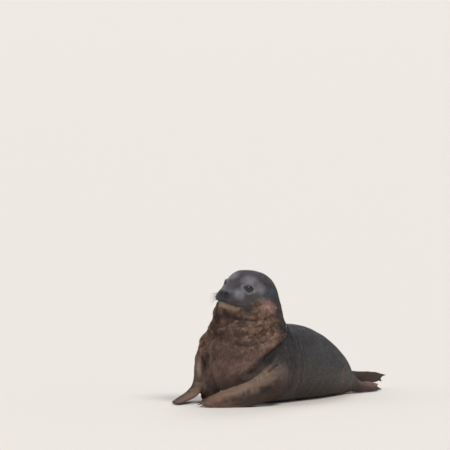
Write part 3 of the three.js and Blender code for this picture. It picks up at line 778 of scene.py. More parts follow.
# Folds and wrinkles, pushed along the normals: a deep crease where the raised neck folds back on
# the shoulders, loose skin in upright folds behind the arms, creases at armpits, elbow and chin.
# Each fold is a line of places, its width and its height.
FOLDS = [
    # The hollow between breast and near arm, with the arm's fold beside it and a slit under that.
    ([(-252, -92, 118), (-226, -122, 156), (-188, -148, 196), (-152, -158, 224)], 22, -20),
    ([(-248, -130, 134), (-206, -156, 168), (-166, -166, 202)], 9, 8),
    ([(-228, -157, 132), (-192, -168, 154)], 6, -10),
    # The near wrist's hollow.
    ([(-237, -164, 66), (-252, -156, 50)], 15, -6),
    # The far arm's groove against the breast, and its ridge.
    ([(-246, 150, 170), (-234, 149, 145), (-228, 146, 104)], 8, -14),
    ([(-262, 156, 154), (-260, 156, 110)], 8, 4),
    # Two drapes of loose skin hung from cheek to cheek across the throat, each with a crease.
    ([(-212, -114, 346), (-249, -94, 331), (-276, -60, 318), (-286, 0, 316), (-276, 60, 318),
      (-212, 114, 346)], 9, 4),
    ([(-169, -124, 338), (-216, -115, 318), (-273, -65, 298), (-287, 0, 296), (-273, 65, 298),
      (-169, 124, 338)], 6, -6),
    ([(-191, -143, 278), (-234, -129, 258), (-268, -99, 244), (-286, -50, 250)], 9, 4),
    ([(-191, -143, 262), (-232, -129, 240), (-266, -99, 226), (-286, -50, 232)], 6, -6),
    # The fold over each hip.
    ([(214, -126, 112), (292, -104, 104)], 6, -4),
    ([(214, 126, 112), (292, 104, 104)], 6, -4),
]
# The right shoulder and upper arm swell out under the throat: centre, reach and height.
SWELLINGS = [((-208, 152, 256), (84, 84, 62), 16), ((-205, 208, 186), (60, 60, 54), 9)]
SWELL_WAY = np.array([-0.64, 0.77, 0])
# The nape's crease and roll, the loose folds behind the arms, the pitch of the wrinkles round the
# body, and the crease under the chin.
NAPE_DEPTH, NAPE_ROLL, RIPPLE_HEIGHT, RIPPLE_PITCH, RING_PITCH, CHIN_DEPTH = 7, 3, 2.2, 31, 38, 4
# Wet locks run down and back over throat and breast: this stretches noise along their lie.
STRAND_LIE = np.array([(0.85, 0.25, 0), (-0.25, 0.85, 0.35), (0, 0.5, 1.3)])


def along_fold(points, line, width):
    """1 on a line through the given places, falling away from it by a bell curve of a given width."""
    gap = np.full(len(points), np.inf)
    for start, end in zip(np.array(line[:-1], float), np.array(line[1:], float)):
        share = np.clip((points - start) @ (end - start) / ((end - start) @ (end - start)), 0, 1)
        gap = np.minimum(gap, np.linalg.norm(points - start - share[:, None] * (end - start), axis=1))
    return bell(gap, width)


def crease_place(rise):
    """Where the neck's crease crosses the trunk: at the neck's root on the nape, further on below."""
    return neck_root_at + 4 + 44 * step(0.6, -0.1, rise)


normals = normals_of(skin.data)
place, rise, left, _, _ = trunk
hand_part = far_along(limbs, 0.45, 0.6, lambda out: out < 10)
body = step(10, 30, head[1]) * (1 - hand_part)
flow_noise = lumps(points, 45, 1)
soft = 2.0 * lumps(points, 70, 2) + 1.0 * lumps(points, 30, 3)
fold_line = crease_place(rise) + 5 * flow_noise
at_fold = step(-0.75, -0.4, rise)
nape_fold = bell(place - fold_line, 9) * at_fold * (1 + 0.5 * step(0.2, 0.7, rise))
nape_roll = bell(place - fold_line + 20, 13) * at_fold * step(0.4, 0, rise)
upright = step(-175, -140, points[:, 0]) * step(-5, -45, points[:, 0]) * step(90, 125, np.abs(points[:, 1]))
upright *= step(30, 80, points[:, 2])
ripple = np.sin(2 * np.pi * (points[:, 0] + 14 * flow_noise + 0.12 * points[:, 2]) / RIPPLE_PITCH)
behind = step(-20, 40, points[:, 0]) * step(260, 120, points[:, 0])
behind = behind * step(0.3, -0.3, rise) * step(0.4, 0.7, np.abs(left))
ring = np.sin(2 * np.pi * (place + 34 * flow_noise + 12 * rise) / RING_PITCH)
on_throat = step(breast_at + 30, neck_root_at, place) * step(0.6, 0.1, rise)
strands = points @ STRAND_LIE
curls = on_throat * (1.7 * lumps(strands, 12, 5) + 1.3 * lumps(strands, 24, 6))
under_chin = bell(here[:, 2] + 101 - 0.1 * np.abs(here[:, 1]), 6) * step(60, 100, here[:, 0])
loose = RIPPLE_HEIGHT * upright * ripple * (0.6 + 0.6 * lumps(points, 40, 9))
wrinkles = 0.7 * behind * ring * lumps(points, 60, 8)
push = body * (soft - NAPE_DEPTH * nape_fold + NAPE_ROLL * nape_roll + loose + wrinkles + curls)
push += 0.35 * lumps(points, 9, 7) * (1 - body) * (1 - near_face) - CHIN_DEPTH * under_chin
# Where the creases lie: the skin is painted dark there as painted shade, and the tufts grow shorter.
groove = np.maximum(0.9 * nape_fold * body, 0.8 * under_chin)
groove = np.maximum(groove, 0.3 * upright * np.maximum(-ripple, 0) * body)
for line, fold_width, height in FOLDS:
    along = along_fold(points, line, fold_width) * (0.8 + 0.3 * flow_noise)
    push += height * along
    if height < 0:
        groove = np.maximum(groove, min(1, -height / 10) * along)
points = points + push[:, None] * normals
for centre, reach, height in SWELLINGS:
    swelling = height * step(1, 0.2, np.linalg.norm((points - centre) / reach, axis=1))
    points = points + swelling[:, None] * SWELL_WAY
points[:, 2] = np.maximum(points[:, 2], 0.6)
move_points(skin.data, points)
smooth(skin)


# Markings and painted light
# The first coat is black to brown: sleek charcoal over back and crown, greyer low on the face, tan on chin
# and cheek folds, curly brown on throat and breast, sandy on the hands. Over it lie painted highlights on
# brow, muzzle, wet curls, the far arm's ridge and the flippers' leading edges, a painted blue sheen behind
# the eyes, and painted shade in creases, hollows, mouth, nostrils and ear pits, low on the chest and near
# the floor.
def srgb(red, green, blue):
    """A display colour of 0 to 255 as the linear values that materials take."""
    value = np.array([red, green, blue]) / 255
    return np.where(value <= 0.04045, value / 12.92, ((value + 0.055) / 1.055) ** 2.4)


# Some of these colours stand for light and shade: the brow and muzzle greys, the far arm's pale ridge and
# the flippers' pale edge are painted highlights, the blue black is a painted sheen, the low flank and low
# chest colours are darker brown with painted shade in them, and the near-black is painted shade.
BACK_BLACK, FLANK_BLACK, FLANK_LOW_SHADE = srgb(46, 45, 50), srgb(60, 54, 53), srgb(52, 36, 29)
NAPE_DARK, BREAST_BROWN, CHEST_LOW_SHADE = srgb(72, 60, 55), srgb(140, 111, 101), srgb(84, 63, 54)
THROAT_DARK, THROAT_LIGHT, HIP_BROWN = srgb(76, 54, 46), srgb(148, 117, 98), srgb(92, 76, 72)
CROWN, FACE_GREY, BROW_HIGHLIGHT = srgb(57, 53, 60), srgb(70, 67, 73), srgb(124, 121, 129)
CHEEK_DARK, CHEEK_RED, MUZZLE_HIGHLIGHT = srgb(60, 55, 58), srgb(184, 148, 140), srgb(124, 123, 129)
NOSE_DARK, CHIN_TAN, BLUE_SHEEN = srgb(34, 32, 36), srgb(198, 167, 134), srgb(54, 56, 72)
FLIPPER_DARK, FLIPPER_EDGE_HIGHLIGHT, SANDY = srgb(58, 41, 35), srgb(122, 101, 88), srgb(110, 83, 65)
HIND_DARK, SHOULDER_BROWN, ARM_RIDGE_HIGHLIGHT = srgb(62, 43, 37), srgb(118, 99, 94), srgb(176, 152, 146)
SHADE_BLACK, LID_DARK, RING_PALE = srgb(20, 17, 18), srgb(30, 28, 31), srgb(130, 128, 132)


def spot(places, centre, radii):
    """1 at a centre, falling smoothly to 0 at the given radii."""
    return step(1, 0.25, np.linalg.norm((places - centre) / radii, axis=1))


def paint(colors, color, share):
    """Colours taken the given share of the way to one colour."""
    return colors + share[:, None] * (color - colors)


def layer(points, color):
    """One colour for every point."""
    return np.tile(color, (len(points), 1))


def both_sides(places):
    """Places with the right side laid over the left one, as all of it were left."""
    return places * (1, 0, 1) + np.abs(places) * (0, 1, 0)


def face_markings(points, places, fleck):
    """The head's colours in its own frame, the same on both sides, with painted highlights on brow and
    muzzle and a painted blue sheen behind the eyes.
    """
    forward, height = places[:, 0], places[:, 2]
    folded = both_sides(places)
    face = paint(layer(points, CROWN), FACE_GREY, step(50, 0, height))
    # A painted blue sheen on the black coat behind each eye.
    face = paint(face, BLUE_SHEEN, 0.9 * spot(folded, (-14, 98, 0), (80, 60, 52)))
    # Painted highlights: pale grey over each brow and beside and behind each eye.
    face = paint(face, BROW_HIGHLIGHT, (0.72 + 0.12 * fleck) * spot(folded, (62, 42, 50), (48, 46, 32)))
    face = paint(face, BROW_HIGHLIGHT, 0.7 * spot(folded, (36, 76, 20), (32, 32, 32)))
    # Painted highlights: pale grey on each side of the muzzle and on top of the nose.
    face = paint(face, MUZZLE_HIGHLIGHT, 0.8 * spot(folded, (112, 42, -6), (34, 32, 34)))
    face = paint(face, MUZZLE_HIGHLIGHT, 0.5 * spot(folded, (146, 18, 6), (26, 20, 14)))
    face = paint(face, CHEEK_DARK, spot(folded, (72, 76, -34), (42, 36, 40)))
    chin = spot(folded, (124, 0, -74), (66, 80, 46)) * step(-38, -46, height)
    face = paint(face, CHIN_TAN, chin * (0.85 + 0.15 * fleck))
    face = paint(face, THROAT_DARK, step(-94, -112, height) * step(20, 60, forward))
    return paint(face, NOSE_DARK, 0.95 * spot(folded, (156, 8, -12), (30, 30, 24)))


def limb_markings(points, limb, coordinates, fleck):
    """A limb's colours: dark, lighter along the leading edge as a painted highlight, with a sandy hand."""
    along, across, _, _, _ = coordinates
    if limb == "hind_right":
        return layer(points, HIND_DARK)
    if limb == "hind_left":
        return paint(layer(points, SANDY * 0.8), FLIPPER_DARK, step(0.2, -0.7, across))
    # Lighter along the leading edge, which is the top of the near flipper: a painted highlight.
    edge = step(-0.15, 0.55, across + 0.25 * fleck)
    shade = paint(layer(points, FLIPPER_DARK), FLIPPER_EDGE_HIGHLIGHT, edge)
    return paint(shade, SANDY, step(0.7, 0.98, along) * (0.5 + 0.5 * edge))


def markings(points, trunk, head, limbs):
    """The coat's colour at each point, as soft patches laid over one another."""
    place, rise, left, _, _ = trunk
    blotch, fleck = lumps(points, 38, 11), lumps(points, 12, 12)
    strands = points @ STRAND_LIE
    wisps = 0.5 * lumps(strands, 11, 13) + 0.8 * lumps(strands, 6.5, 14)
    colors = paint(layer(points, BACK_BLACK), FLANK_BLACK, step(0.35, -0.3, rise + 0.2 * blotch))
    # Darker brown low on the flanks and rump and within 80 mm of the floor: a browner belly, with painted
    # shade where the body meets the floor.
    low = np.maximum(step(-0.2, -0.75, rise), step(80, 25, points[:, 2]))
    colors = paint(colors, FLANK_LOW_SHADE, low * step(back_at - 60, back_at, place))
    drift = 14 * np.stack([blotch, fleck, wisps], -1)
    hip = spot(both_sides(points) + 2 * drift, (286, 104, 82), (84, 60, 44))
    colors = paint(colors, HIP_BROWN, 0.75 * hip)
    front = step(8, -12, place - crease_place(rise)) * step(0.24, -0.16, rise + 0.12 * wisps)
    front = np.maximum(front, step(-0.55, -0.8, rise) * step(back_at, breast_at, place))
    nape = step(neck_root_at + 20, neck_root_at - 60, place + 30 * blotch)
    colors = paint(colors, NAPE_DARK, nape * step(0.75, 0.35, rise))
    colors = paint(colors, CROWN, step(190, 60, place) * step(0.3, 0.7, rise))
    # The breast goes darker towards the floor: painted shade.
    breast = paint(layer(points, BREAST_BROWN), CHEST_LOW_SHADE, step(150, 40, points[:, 2]))
    breast = breast * (1 + 0.22 * wisps + 0.12 * fleck)[:, None]
    # Wet curls: dark brown with pale tan wisps, partly painted highlights on the wet locks, with more of
    # them towards the sides and down the middle.
    lit_curl_share = 0.8 * (np.abs(left) - 0.55) + 0.45 * step(0.4, 0, np.abs(left)) + 0.15 * blotch
    curly = paint(layer(points, THROAT_DARK), THROAT_LIGHT, step(-0.25, 0.8, wisps + lit_curl_share))
    drifted = place + 40 * blotch + 20 * wisps - 80 * (np.abs(left) - 0.4)
    throat = step(breast_at + 50, neck_root_at - 50, drifted)
    colors = colors + front[:, None] * (breast + throat[:, None] * (curly - breast) - colors)
    face = face_markings(points, head[0], fleck)
    colors = colors + step(22, 4, head[1])[:, None] * (face - colors)
    folded = both_sides(head[0])
    cheek = spot(folded + drift, (24, 112, -36), (54, 44, 32)) * np.clip(0.75 + 0.8 * wisps, 0, 1)
    colors = paint(colors, CHEEK_RED, cheek)
    colors = paint(colors, CHEEK_DARK, 0.95 * spot(folded, (92, 84, -50), (34, 26, 30)))
    colors = paint(colors, THROAT_LIGHT, 0.9 * spot(folded, (88, 95, -79), (28, 26, 12)))
    for side in (1, -1):
        mirrored_points = points * (1, -side, 1)
        colors = paint(colors, SHOULDER_BROWN, 0.75 * spot(mirrored_points, (-172, 165, 122), (60, 40, 62)))
    for limb in LIMBS:
        along, _, _, out, _ = limbs[limb]
        shade = limb_markings(points, limb, limbs[limb], fleck)
        colors = colors + (step(14, 2, out) * step(0.28, 0.46, along))[:, None] * (shade - colors)
    # Painted shade in the hollow of the near wrist.
    colors = paint(colors, FLIPPER_DARK, 0.7 * spot(points, (-246, -164, 56), (46, 40, 40)))
    # A painted highlight along the far arm's ridge.
    colors = paint(colors, ARM_RIDGE_HIGHLIGHT, 0.85 * along_fold(points, [(-263, 157, 156), (-261, 158, 110)], 12))
    # Painted shade in the hollow between the breast and the near arm.
    colors = paint(colors, SHADE_BLACK, 0.55 * along_fold(points, FOLDS[0][0], 24))
    return colors * (1 + 0.18 * blotch + 0.1 * fleck)[:, None]


trunk, head, limbs, outside = places_of(points)
colors = markings(points, trunk, head, limbs)
# Painted shade: near-black in the nostrils, the mouth line and the ear pits, and along every crease.
darkest = np.clip(np.maximum(np.maximum(nostril_dark, mouth_dark), ear_dark), 0, 1)
colors = paint(colors, SHADE_BLACK, 0.92 * darkest)
colors = paint(colors, SHADE_BLACK, 0.85 * groove)
colors = paint(colors, RING_PALE, 0.48 * pale_ring * (1 - lid_rim))
colors = paint(colors, LID_DARK, 0.9 * lid_rim)


def give_color(mesh, colors):
    """Stores one colour a point as the attribute tint."""
    tint = mesh.color_attributes.new("tint", "FLOAT_COLOR", "POINT")
    opaque = np.concatenate([colors, np.ones((len(colors), 1))], 1)
    tint.data.foreach_set("color", opaque.astype(np.float32).ravel())


def stored_tint(tree):
    """The colour output of a node that reads the attribute tint."""
    tint = tree.nodes.new("ShaderNodeAttribute")
    tint.attribute_name = "tint"
    return tint.outputs["Color"]


give_color(skin.data, np.clip(colors, 0.002, 1))


def new_group(name, inputs, outputs):
    """An empty shader node group with the given sockets, as its tree, its input and its output."""
    tree = bpy.data.node_groups.new(name, "ShaderNodeTree")
    for label, kind, value in inputs:
        tree.interface.new_socket(label, in_out="INPUT", socket_type=kind).default_value = value
    for label, kind in outputs:
        tree.interface.new_socket(label, in_out="OUTPUT", socket_type=kind)
    return tree, tree.nodes.new("NodeGroupInput"), tree.nodes.new("NodeGroupOutput")


# Fur grain: flecks of lighter and darker hair, and the height of the hairs for bump.
grain, grain_in, grain_out = new_group(
    "fur_grain",
    [
        ("Color", "NodeSocketColor", (0.1, 0.1, 0.1, 1)), ("Scale", "NodeSocketFloat", 400.0),
        ("Contrast", "NodeSocketFloat", 0.5),
    ],
    [("Color", "NodeSocketColor"), ("Height", "NodeSocketFloat")],
)
where = grain.nodes.new("ShaderNodeTexCoord")
hairs = grain.nodes.new("ShaderNodeTexNoise")
hairs.inputs["Detail"].default_value = 3
hairs.inputs["Roughness"].default_value = 0.65
brighten = grain.nodes.new("ShaderNodeMath")
brighten.operation = "SUBTRACT"
brighten.inputs[1].default_value = 0.5
spread = grain.nodes.new("ShaderNodeMath")
spread.operation = "MULTIPLY_ADD"
spread.inputs[2].default_value = 1.0
tinted = grain.nodes.new("ShaderNodeVectorMath")
tinted.operation = "SCALE"
grain.links.new(where.outputs["Object"], hairs.inputs["Vector"])
grain.links.new(grain_in.outputs["Scale"], hairs.inputs["Scale"])
grain.links.new(hairs.outputs["Fac"], brighten.inputs[0])
grain.links.new(brighten.outputs["Value"], spread.inputs[0])
grain.links.new(grain_in.outputs["Contrast"], spread.inputs[1])
grain.links.new(grain_in.outputs["Color"], tinted.inputs["Vector"])
grain.links.new(spread.outputs["Value"], tinted.inputs["Scale"])
grain.links.new(tinted.outputs["Vector"], grain_out.inputs["Color"])
grain.links.new(hairs.outputs["Fac"], grain_out.inputs["Height"])


def fur_material(name, roughness, scale, contrast, bump, sheen):
    """A material whose colour is the attribute tint, broken up by fur grain."""
    material, tree, shader = new_material(name, (0.06, 0.05, 0.05), roughness)
    grains = tree.nodes.new("ShaderNodeGroup")
    grains.node_tree = grain
    grains.inputs["Scale"].default_value = scale
    grains.inputs["Contrast"].default_value = contrast
    ripple = tree.nodes.new("ShaderNodeBump")
    ripple.inputs["Strength"].default_value = bump
    ripple.inputs["Distance"].default_value = 0.001
    shader.inputs["Sheen Weight"].default_value = sheen
    shader.inputs["Sheen Roughness"].default_value = 0.4
    shader.inputs["Specular IOR Level"].default_value = 0.35
    tree.links.new(stored_tint(tree), grains.inputs["Color"])
    tree.links.new(grains.outputs["Color"], shader.inputs["Base Color"])
    tree.links.new(grains.outputs["Height"], ripple.inputs["Height"])
    tree.links.new(ripple.outputs["Normal"], shader.inputs["Normal"])
    return material


skin.data.materials.append(fur_material("skin_and_down", 0.6, 520, 0.9, 0.6, 0.15))
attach(skin, "root")
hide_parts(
    "head", "neck", "chest", "belly", "rump", "tail",
    "fore_flipper_left", "fore_flipper_right", "hind_flipper_left", "hind_flipper_right",
)


# Coat
# Short, dense first fur that lies back along the body, in small tufts: finest on the face and
# hands, sleek on the back, and in wet curls on throat and breast. Each tuft is a closed blade of
# seven points, sunk a little in the skin.
TUFT_COUNT = 132000
PIECE_TUFTS = 19500
# The coat flows back from a place just before the nose.
NOSE_END = np.array([165.0, 0, -12])

corners_of = np.empty(len(skin.data.loops), np.int32)
skin.data.loops.foreach_get("vertex_index", corners_of)
loop_start = np.empty(len(skin.data.polygons), np.int32)
skin.data.polygons.foreach_get("loop_start", loop_start)
area = np.empty(len(skin.data.polygons), np.float32)
skin.data.polygons.foreach_get("area", area)
face_corners = corners_of[loop_start[:, None] + np.arange(3)]
fourth = corners_of[np.minimum(loop_start + 3, len(corners_of) - 1)]
has_four = np.diff(np.append(loop_start, len(corners_of))) >= 4
fourth = np.where(has_four, fourth, face_corners[:, 0])

normals = normals_of(skin.data)
edges = edges_of(skin.data)
place, rise, left, _, body_onward = trunk
part = np.abs(outside).argmin(1)
head_flow = unit(points - from_head(NOSE_END))
flow = np.where((part == 1)[:, None], head_flow, body_onward)
for index, limb in enumerate(LIMBS):
    flow = np.where((part == 2 + index)[:, None], limbs[limb][4], flow)
flow = unit(relax(flow, edges, np.full(len(points), 0.5), 14))

hand = far_along(limbs, 0.4, 0.72, lambda out: step(12, 3, out))
on_arm = far_along(limbs, 0.2, 0.5, lambda out: step(12, 3, out))
on_head_skin = step(16, 4, head[1])
front_face = on_head_skin * step(10, 90, head[0][:, 0])
throat = step(breast_at + 30, neck_root_at, place) * step(0.8, 0.3, rise)
throat = throat * (1 - on_head_skin)
under_jaw = on_head_skin * step(-40, -70, head[0][:, 2])
# Where the coat differs from the trunk's, as the share of each area at each point.
COAT_AREAS = (throat, on_head_skin, front_face, under_jaw, on_arm, hand)


def over_coat(base, *targets):
    """A number a point: the trunk's value, taken towards that of each of the coat's areas by its
    share there, or left as it is where an area has None or isn't given."""
    value = np.full(len(points), float(base))
    for target, share in zip(targets, COAT_AREAS):
        if target is not None:
            value = value + share * (target - value)
    return value


length = over_coat(12, 14, 8, 4.5, 9, 8, 4)
width = over_coat(1.9, 2.3, 1.4, 1.0, 1.8, 1.5, 1.0)
lift = over_coat(0.08, 0.22, 0.07, 0.05, 0.16, 0.08, 0.06)
curl = over_coat(0.2, 0.8, 0.12, 0.08, 0.5, 0.2, 0.12)
length *= 1 - 0.6 * groove
bare = np.clip(
    step(-3.5, -0.5, lid_rim * 3 - 3) + nostril_dark + mouth_dark + ear_dark
    + spot(head[0], (158, 0, -12), (20, 24, 18)) + step(4, 1.5, points[:, 2]), 0, 1
)
bare = np.maximum(bare, lid_rim > 0.4)
density = over_coat(1.0, 0.95, 1.3, 2.2, None, 1.4, 1.9) * (bare < 0.5)

dice = np.random.default_rng(SEED)
chance = area * density[face_corners].mean(1)
chosen = dice.choice(len(area), TUFT_COUNT, p=chance / chance.sum())
share = dice.random((TUFT_COUNT, 2))
weights = np.stack([
    (1 - share[:, 0]) * (1 - share[:, 1]), share[:, 0] * (1 - share[:, 1]),
    share[:, 0] * share[:, 1], (1 - share[:, 0]) * share[:, 1],
], -1)
corners = np.concatenate([face_corners[chosen], fourth[chosen][:, None]], 1)


def at_roots(values):
    """A value of the skin's points, blended over the four corners of each tuft's own cell."""
    rows = values[corners]
    return (rows * weights.reshape(weights.shape + (1,) * (rows.ndim - 2))).sum(1)


roots, normal = at_roots(points), unit(at_roots(normals))
tuft_length, tuft_width = at_roots(length), at_roots(width)
tuft_lift, tuft_curl, tuft_color = at_roots(lift), at_roots(curl), at_roots(colors)
vary = dice.uniform(0.75, 1.25, TUFT_COUNT)
swirl = tuft_curl * (1.5 * lumps(roots, 20, 21) + 0.3 * dice.normal(size=TUFT_COUNT))
onward = at_roots(flow)
onward = unit(onward - (onward * normal).sum(1, keepdims=True) * normal)
sideways = np.cross(normal, onward)
lie = np.cos(swirl)[:, None] * onward + np.sin(swirl)[:, None] * sideways
sideways = np.cross(normal, lie)
bend = tuft_curl * dice.normal(0, 0.35, TUFT_COUNT)
rise_by = tuft_lift * dice.uniform(0.6, 1.4, TUFT_COUNT)
reach = (tuft_length * vary)[:, None]
half = (tuft_width * dice.uniform(0.7, 1.2, TUFT_COUNT) / 2)[:, None]
base = roots - 0.7 * normal
half_way = 0.5 * lie + (0.6 * rise_by)[:, None] * normal + (0.25 * bend)[:, None] * sideways
middle = roots + reach * half_way + 0.35 * normal
tip = roots + reach * (lie + (0.85 * rise_by)[:, None] * normal + bend[:, None] * sideways)
blade = np.stack([
    base - half * sideways, base + half * sideways, base + 0.8 * half * normal,
    middle - 0.75 * half * sideways, middle + 0.75 * half * sideways, middle + 0.6 * half * normal,
    tip,
], 1)
blade[..., 2] = np.maximum(blade[..., 2], 0.3)
BLADE_FACES = np.array([
    (0, 2, 1), (0, 1, 4), (0, 4, 3), (1, 2, 5), (1, 5, 4), (2, 0, 3), (2, 3, 5),
    (3, 4, 6), (4, 5, 6), (5, 3, 6),
])
# A tuft grows lighter from root to tip, and its map is a small patch about its root's place.
BLADE_SHADE = np.array([0.72, 0.72, 0.8, 1.0, 1.0, 1.06, 1.2])
BLADE_PATCH = 0.0015 * np.array([(-1, -1), (1, -1), (0, -1), (-1, 0.2), (1, 0.2), (0, 0.2), (0, 1)])


def unwrapped(points, trunk, head, limbs, part):
    """The skin laid flat: the trunk by its length and the angle round it, and above it the head by
    its bearing and height and each limb by its length and the angle round it."""
    place, rise, left, _, _ = trunk
    trunk_round = 0.27 + 0.23 * np.arctan2(left, rise) / np.pi
    flat = np.stack([0.03 + 0.94 * place / trunk_places[-1], trunk_round], -1)
    polar = head[0] / np.linalg.norm(head[0], axis=1, keepdims=True)
    head_round = 0.18 + 0.15 * np.arctan2(polar[:, 1], polar[:, 0]) / np.pi
    head_flat = np.stack([head_round, 0.76 + 0.2 * polar[:, 2]], -1)
    flat = np.where((part == 1)[:, None], head_flat, flat)
    for index, limb in enumerate(LIMBS):
        along, across, raised, _, _ = limbs[limb]
        limb_round = 0.43 + 0.15 * index + 0.055 * np.arctan2(raised, across) / np.pi
        limb_flat = np.stack([limb_round, 0.56 + 0.4 * along], -1)
        flat = np.where((part == 2 + index)[:, None], limb_flat, flat)
    return flat


root_trunk, root_head, root_limbs, root_outside = places_of(roots)
root_part = np.abs(root_outside).argmin(1)
root_flat = unwrapped(roots, root_trunk, root_head, root_limbs, root_part)
wild = at_roots(over_coat(0.1, 0.3, 0.1))
tuft_tint = tuft_color * (1 + wild * dice.uniform(-1, 1.2, TUFT_COUNT))[:, None]
on_body = root_part == 0
on_neck = on_body & (root_trunk[0] < neck_root_at)
FUR_BUMP = 0.15
# The tufts of each group, their slot, and their fur's roughness, grain, contrast and sheen.
groups = {
    "head_fur": (root_part == 1, "head_coat", 0.45, 700, 0.5, 0.1),
    "throat_fur": (on_neck, "throat_coat", 0.6, 500, 0.6, 0.1),
    "body_fur": (on_body & ~on_neck, "back_coat", 0.5, 600, 0.5, 0.15),
    "flipper_fur": (root_part > 1, "flipper_coat", 0.6, 700, 0.5, 0.1),
}
for name, (mine, slot, roughness, scale, contrast, sheen) in groups.items():
    material = fur_material(name, roughness, scale, contrast, FUR_BUMP, sheen)
    members = np.flatnonzero(mine)
    members = members[np.argsort(root_trunk[0][members], kind="stable")]
    for number, tufts in enumerate(np.array_split(members, max(1, -(-len(members) // PIECE_TUFTS)))):
        faces = (BLADE_FACES[None] + 7 * np.arange(len(tufts))[:, None, None]).reshape(-1, 3)
        coat = new_piece(f"{name}_{number + 1}", blade[tufts].reshape(-1, 3) * MM, faces)
        smooth(coat)
        tint = np.clip(tuft_tint[tufts][:, None] * BLADE_SHADE[None, :, None], 0.002, 1).reshape(-1, 3)
        give_color(coat.data, tint)
        flat = (root_flat[tufts][:, None] + BLADE_PATCH[None]).reshape(-1, 2)
        flat_map = coat.data.uv_layers.new(name="OFBake")
        flat_map.data.foreach_set("uv", flat[faces.ravel()].astype(np.float32).ravel())
        coat.data.materials.append(material)
        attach(coat, "root")


# Eyes
# Large, round and almost black, always wet, with a dark brown iris and a clear bulging cornea. Each
# ball sits behind its lids in a socket of the skull.
EYE_SLACK, CORNEA_RISE, CORNEA_EDGE, CORNEA_TOP, EYE_POLE = 0.6, 1.0, 42, 15, 0.03
# The iris and the pupil end at these angles off the way the eye looks, in radians.
IRIS_EDGE, IRIS_FULL, PUPIL_EDGE, PUPIL_FULL = 0.75, 0.6, 0.36, 0.3
EYE_BLACK, IRIS_BROWN, PUPIL_BLACK = srgb(12, 10, 10), srgb(26, 18, 15), srgb(5, 4, 5)


def eye_piece(name, side):
    """A ball with a cornea: the radius rises in a smooth S from the cornea's edge to its top."""
    look, level, upright = eye_axes(side)
    polar, angle = round_grid(np.linspace(EYE_POLE, np.pi - EYE_POLE, 60), 72)
    cornea = step(math.radians(CORNEA_EDGE), math.radians(CORNEA_TOP), polar)
    radius = EYE_RADIUS - EYE_SLACK + CORNEA_RISE * cornea
    shape = (
        np.cos(polar)[..., None] * look
        + (np.sin(polar) * np.cos(angle))[..., None] * level
        + (np.sin(polar) * np.sin(angle))[..., None] * upright
    )
    points, quads, ends = tube(from_head(mirrored(EYE_PLACE, side) + radius[..., None] * shape))
    piece = new_piece(name, points * MM, quads[:, ::-1], ends[:, ::-1])
    smooth(piece)
    facing = np.concatenate([np.cos(polar).ravel(), [1, -1]])
    iris = layer(points, EYE_BLACK)
    iris = paint(iris, IRIS_BROWN, step(math.cos(IRIS_EDGE), math.cos(IRIS_FULL), facing))
    iris = paint(iris, PUPIL_BLACK, step(math.cos(PUPIL_EDGE), math.cos(PUPIL_FULL), facing))
    give_color(piece.data, iris)
    return piece


eye_wet, eye_tree, eye_shader = new_material("eye_wet", (0.006, 0.005, 0.005), 0.12)
eye_shader.inputs["Specular IOR Level"].default_value = 0.25
eye_shader.inputs["Coat Weight"].default_value = 0.8
eye_shader.inputs["Coat Roughness"].default_value = 0.02
eye_tree.links.new(stored_tint(eye_tree), eye_shader.inputs["Base Color"])
for name, side in (("eye_left", 1), ("eye_right", -1)):
    eyeball = eye_piece(f"{name}_ball", side)
    eyeball.data.materials.append(eye_wet)
    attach(eyeball, "root")
    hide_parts(name)


# Claws
# Five slender dark claws on each fore flipper, rooted in the digits' ends and bent to the ground.
CLAW_LENGTH, CLAW_RADIUS, CLAW_SINK, CLAW_BEND = 20, 3.4, 9, 3
# The claws stand a little closer than the digits, and each is flatter across than it is deep.
CLAW_CLOSE, CLAW_FLAT = 0.94, 0.75


def claw_points(limb, digit):
    """A cone along a parabola: radius falls by the square of the share of its length."""
    course, sizes, lengths, _ = LIMBS[limb]
    middle, onward, edge, back = (row[0] for row in limb_frame(course, np.array([1.0])))
    across = DIGIT_ACROSS[digit] * CLAW_CLOSE
    tip = tip_reach(np.array([across]), lengths)[0]
    root = middle + sizes[-1, 1] * across * edge + (tip - CLAW_SINK) * onward
    down = -1 if back[2] > 0 else 1
    t, angle = round_grid(np.linspace(0, 1, 14), 12)
    radius = CLAW_RADIUS * (1 - 0.93 * t**2)
    return (
        root + (CLAW_LENGTH * t)[..., None] * onward
        + (down * (CLAW_BEND * t * t - CLAW_BEND / 2))[..., None] * back
        + (CLAW_FLAT * radius * np.cos(angle))[..., None] * edge + (radius * np.sin(angle))[..., None] * back
    )


def horn_material(name, color, roughness, scale, dark, pale):
    """Horn of one mean colour, which runs from dark to pale by noise of the given scale."""
    material, tree, shader = new_material(name, color, roughness)
    where = tree.nodes.new("ShaderNodeTexCoord")
    streak = tree.nodes.new("ShaderNodeTexNoise")
    streak.inputs["Scale"].default_value = scale
    ramp = tree.nodes.new("ShaderNodeValToRGB")
    ramp.color_ramp.elements[0].color = (*dark, 1)
    ramp.color_ramp.elements[1].color = (*pale, 1)
    tree.links.new(where.outputs["Object"], streak.inputs["Vector"])
    tree.links.new(streak.outputs["Fac"], ramp.inputs["Fac"])
    tree.links.new(ramp.outputs["Color"], shader.inputs["Base Color"])
    return material


claw_horn = horn_material("claw_horn", srgb(44, 36, 33), 0.35, 300, srgb(30, 24, 22), srgb(92, 76, 66))
for limb in ("fore_left", "fore_right"):
    points, quads, ends = joined([tube(claw_points(limb, digit)) for digit in range(len(DIGIT_ACROSS))])
    points[:, 2] = np.maximum(points[:, 2], 0.4)
    claws = new_piece(f"claws_{limb}", points * MM, quads, ends)
    face_outward(claws)
    smooth(claws)
    claws.data.materials.append(claw_horn)
    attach(claws, "root")


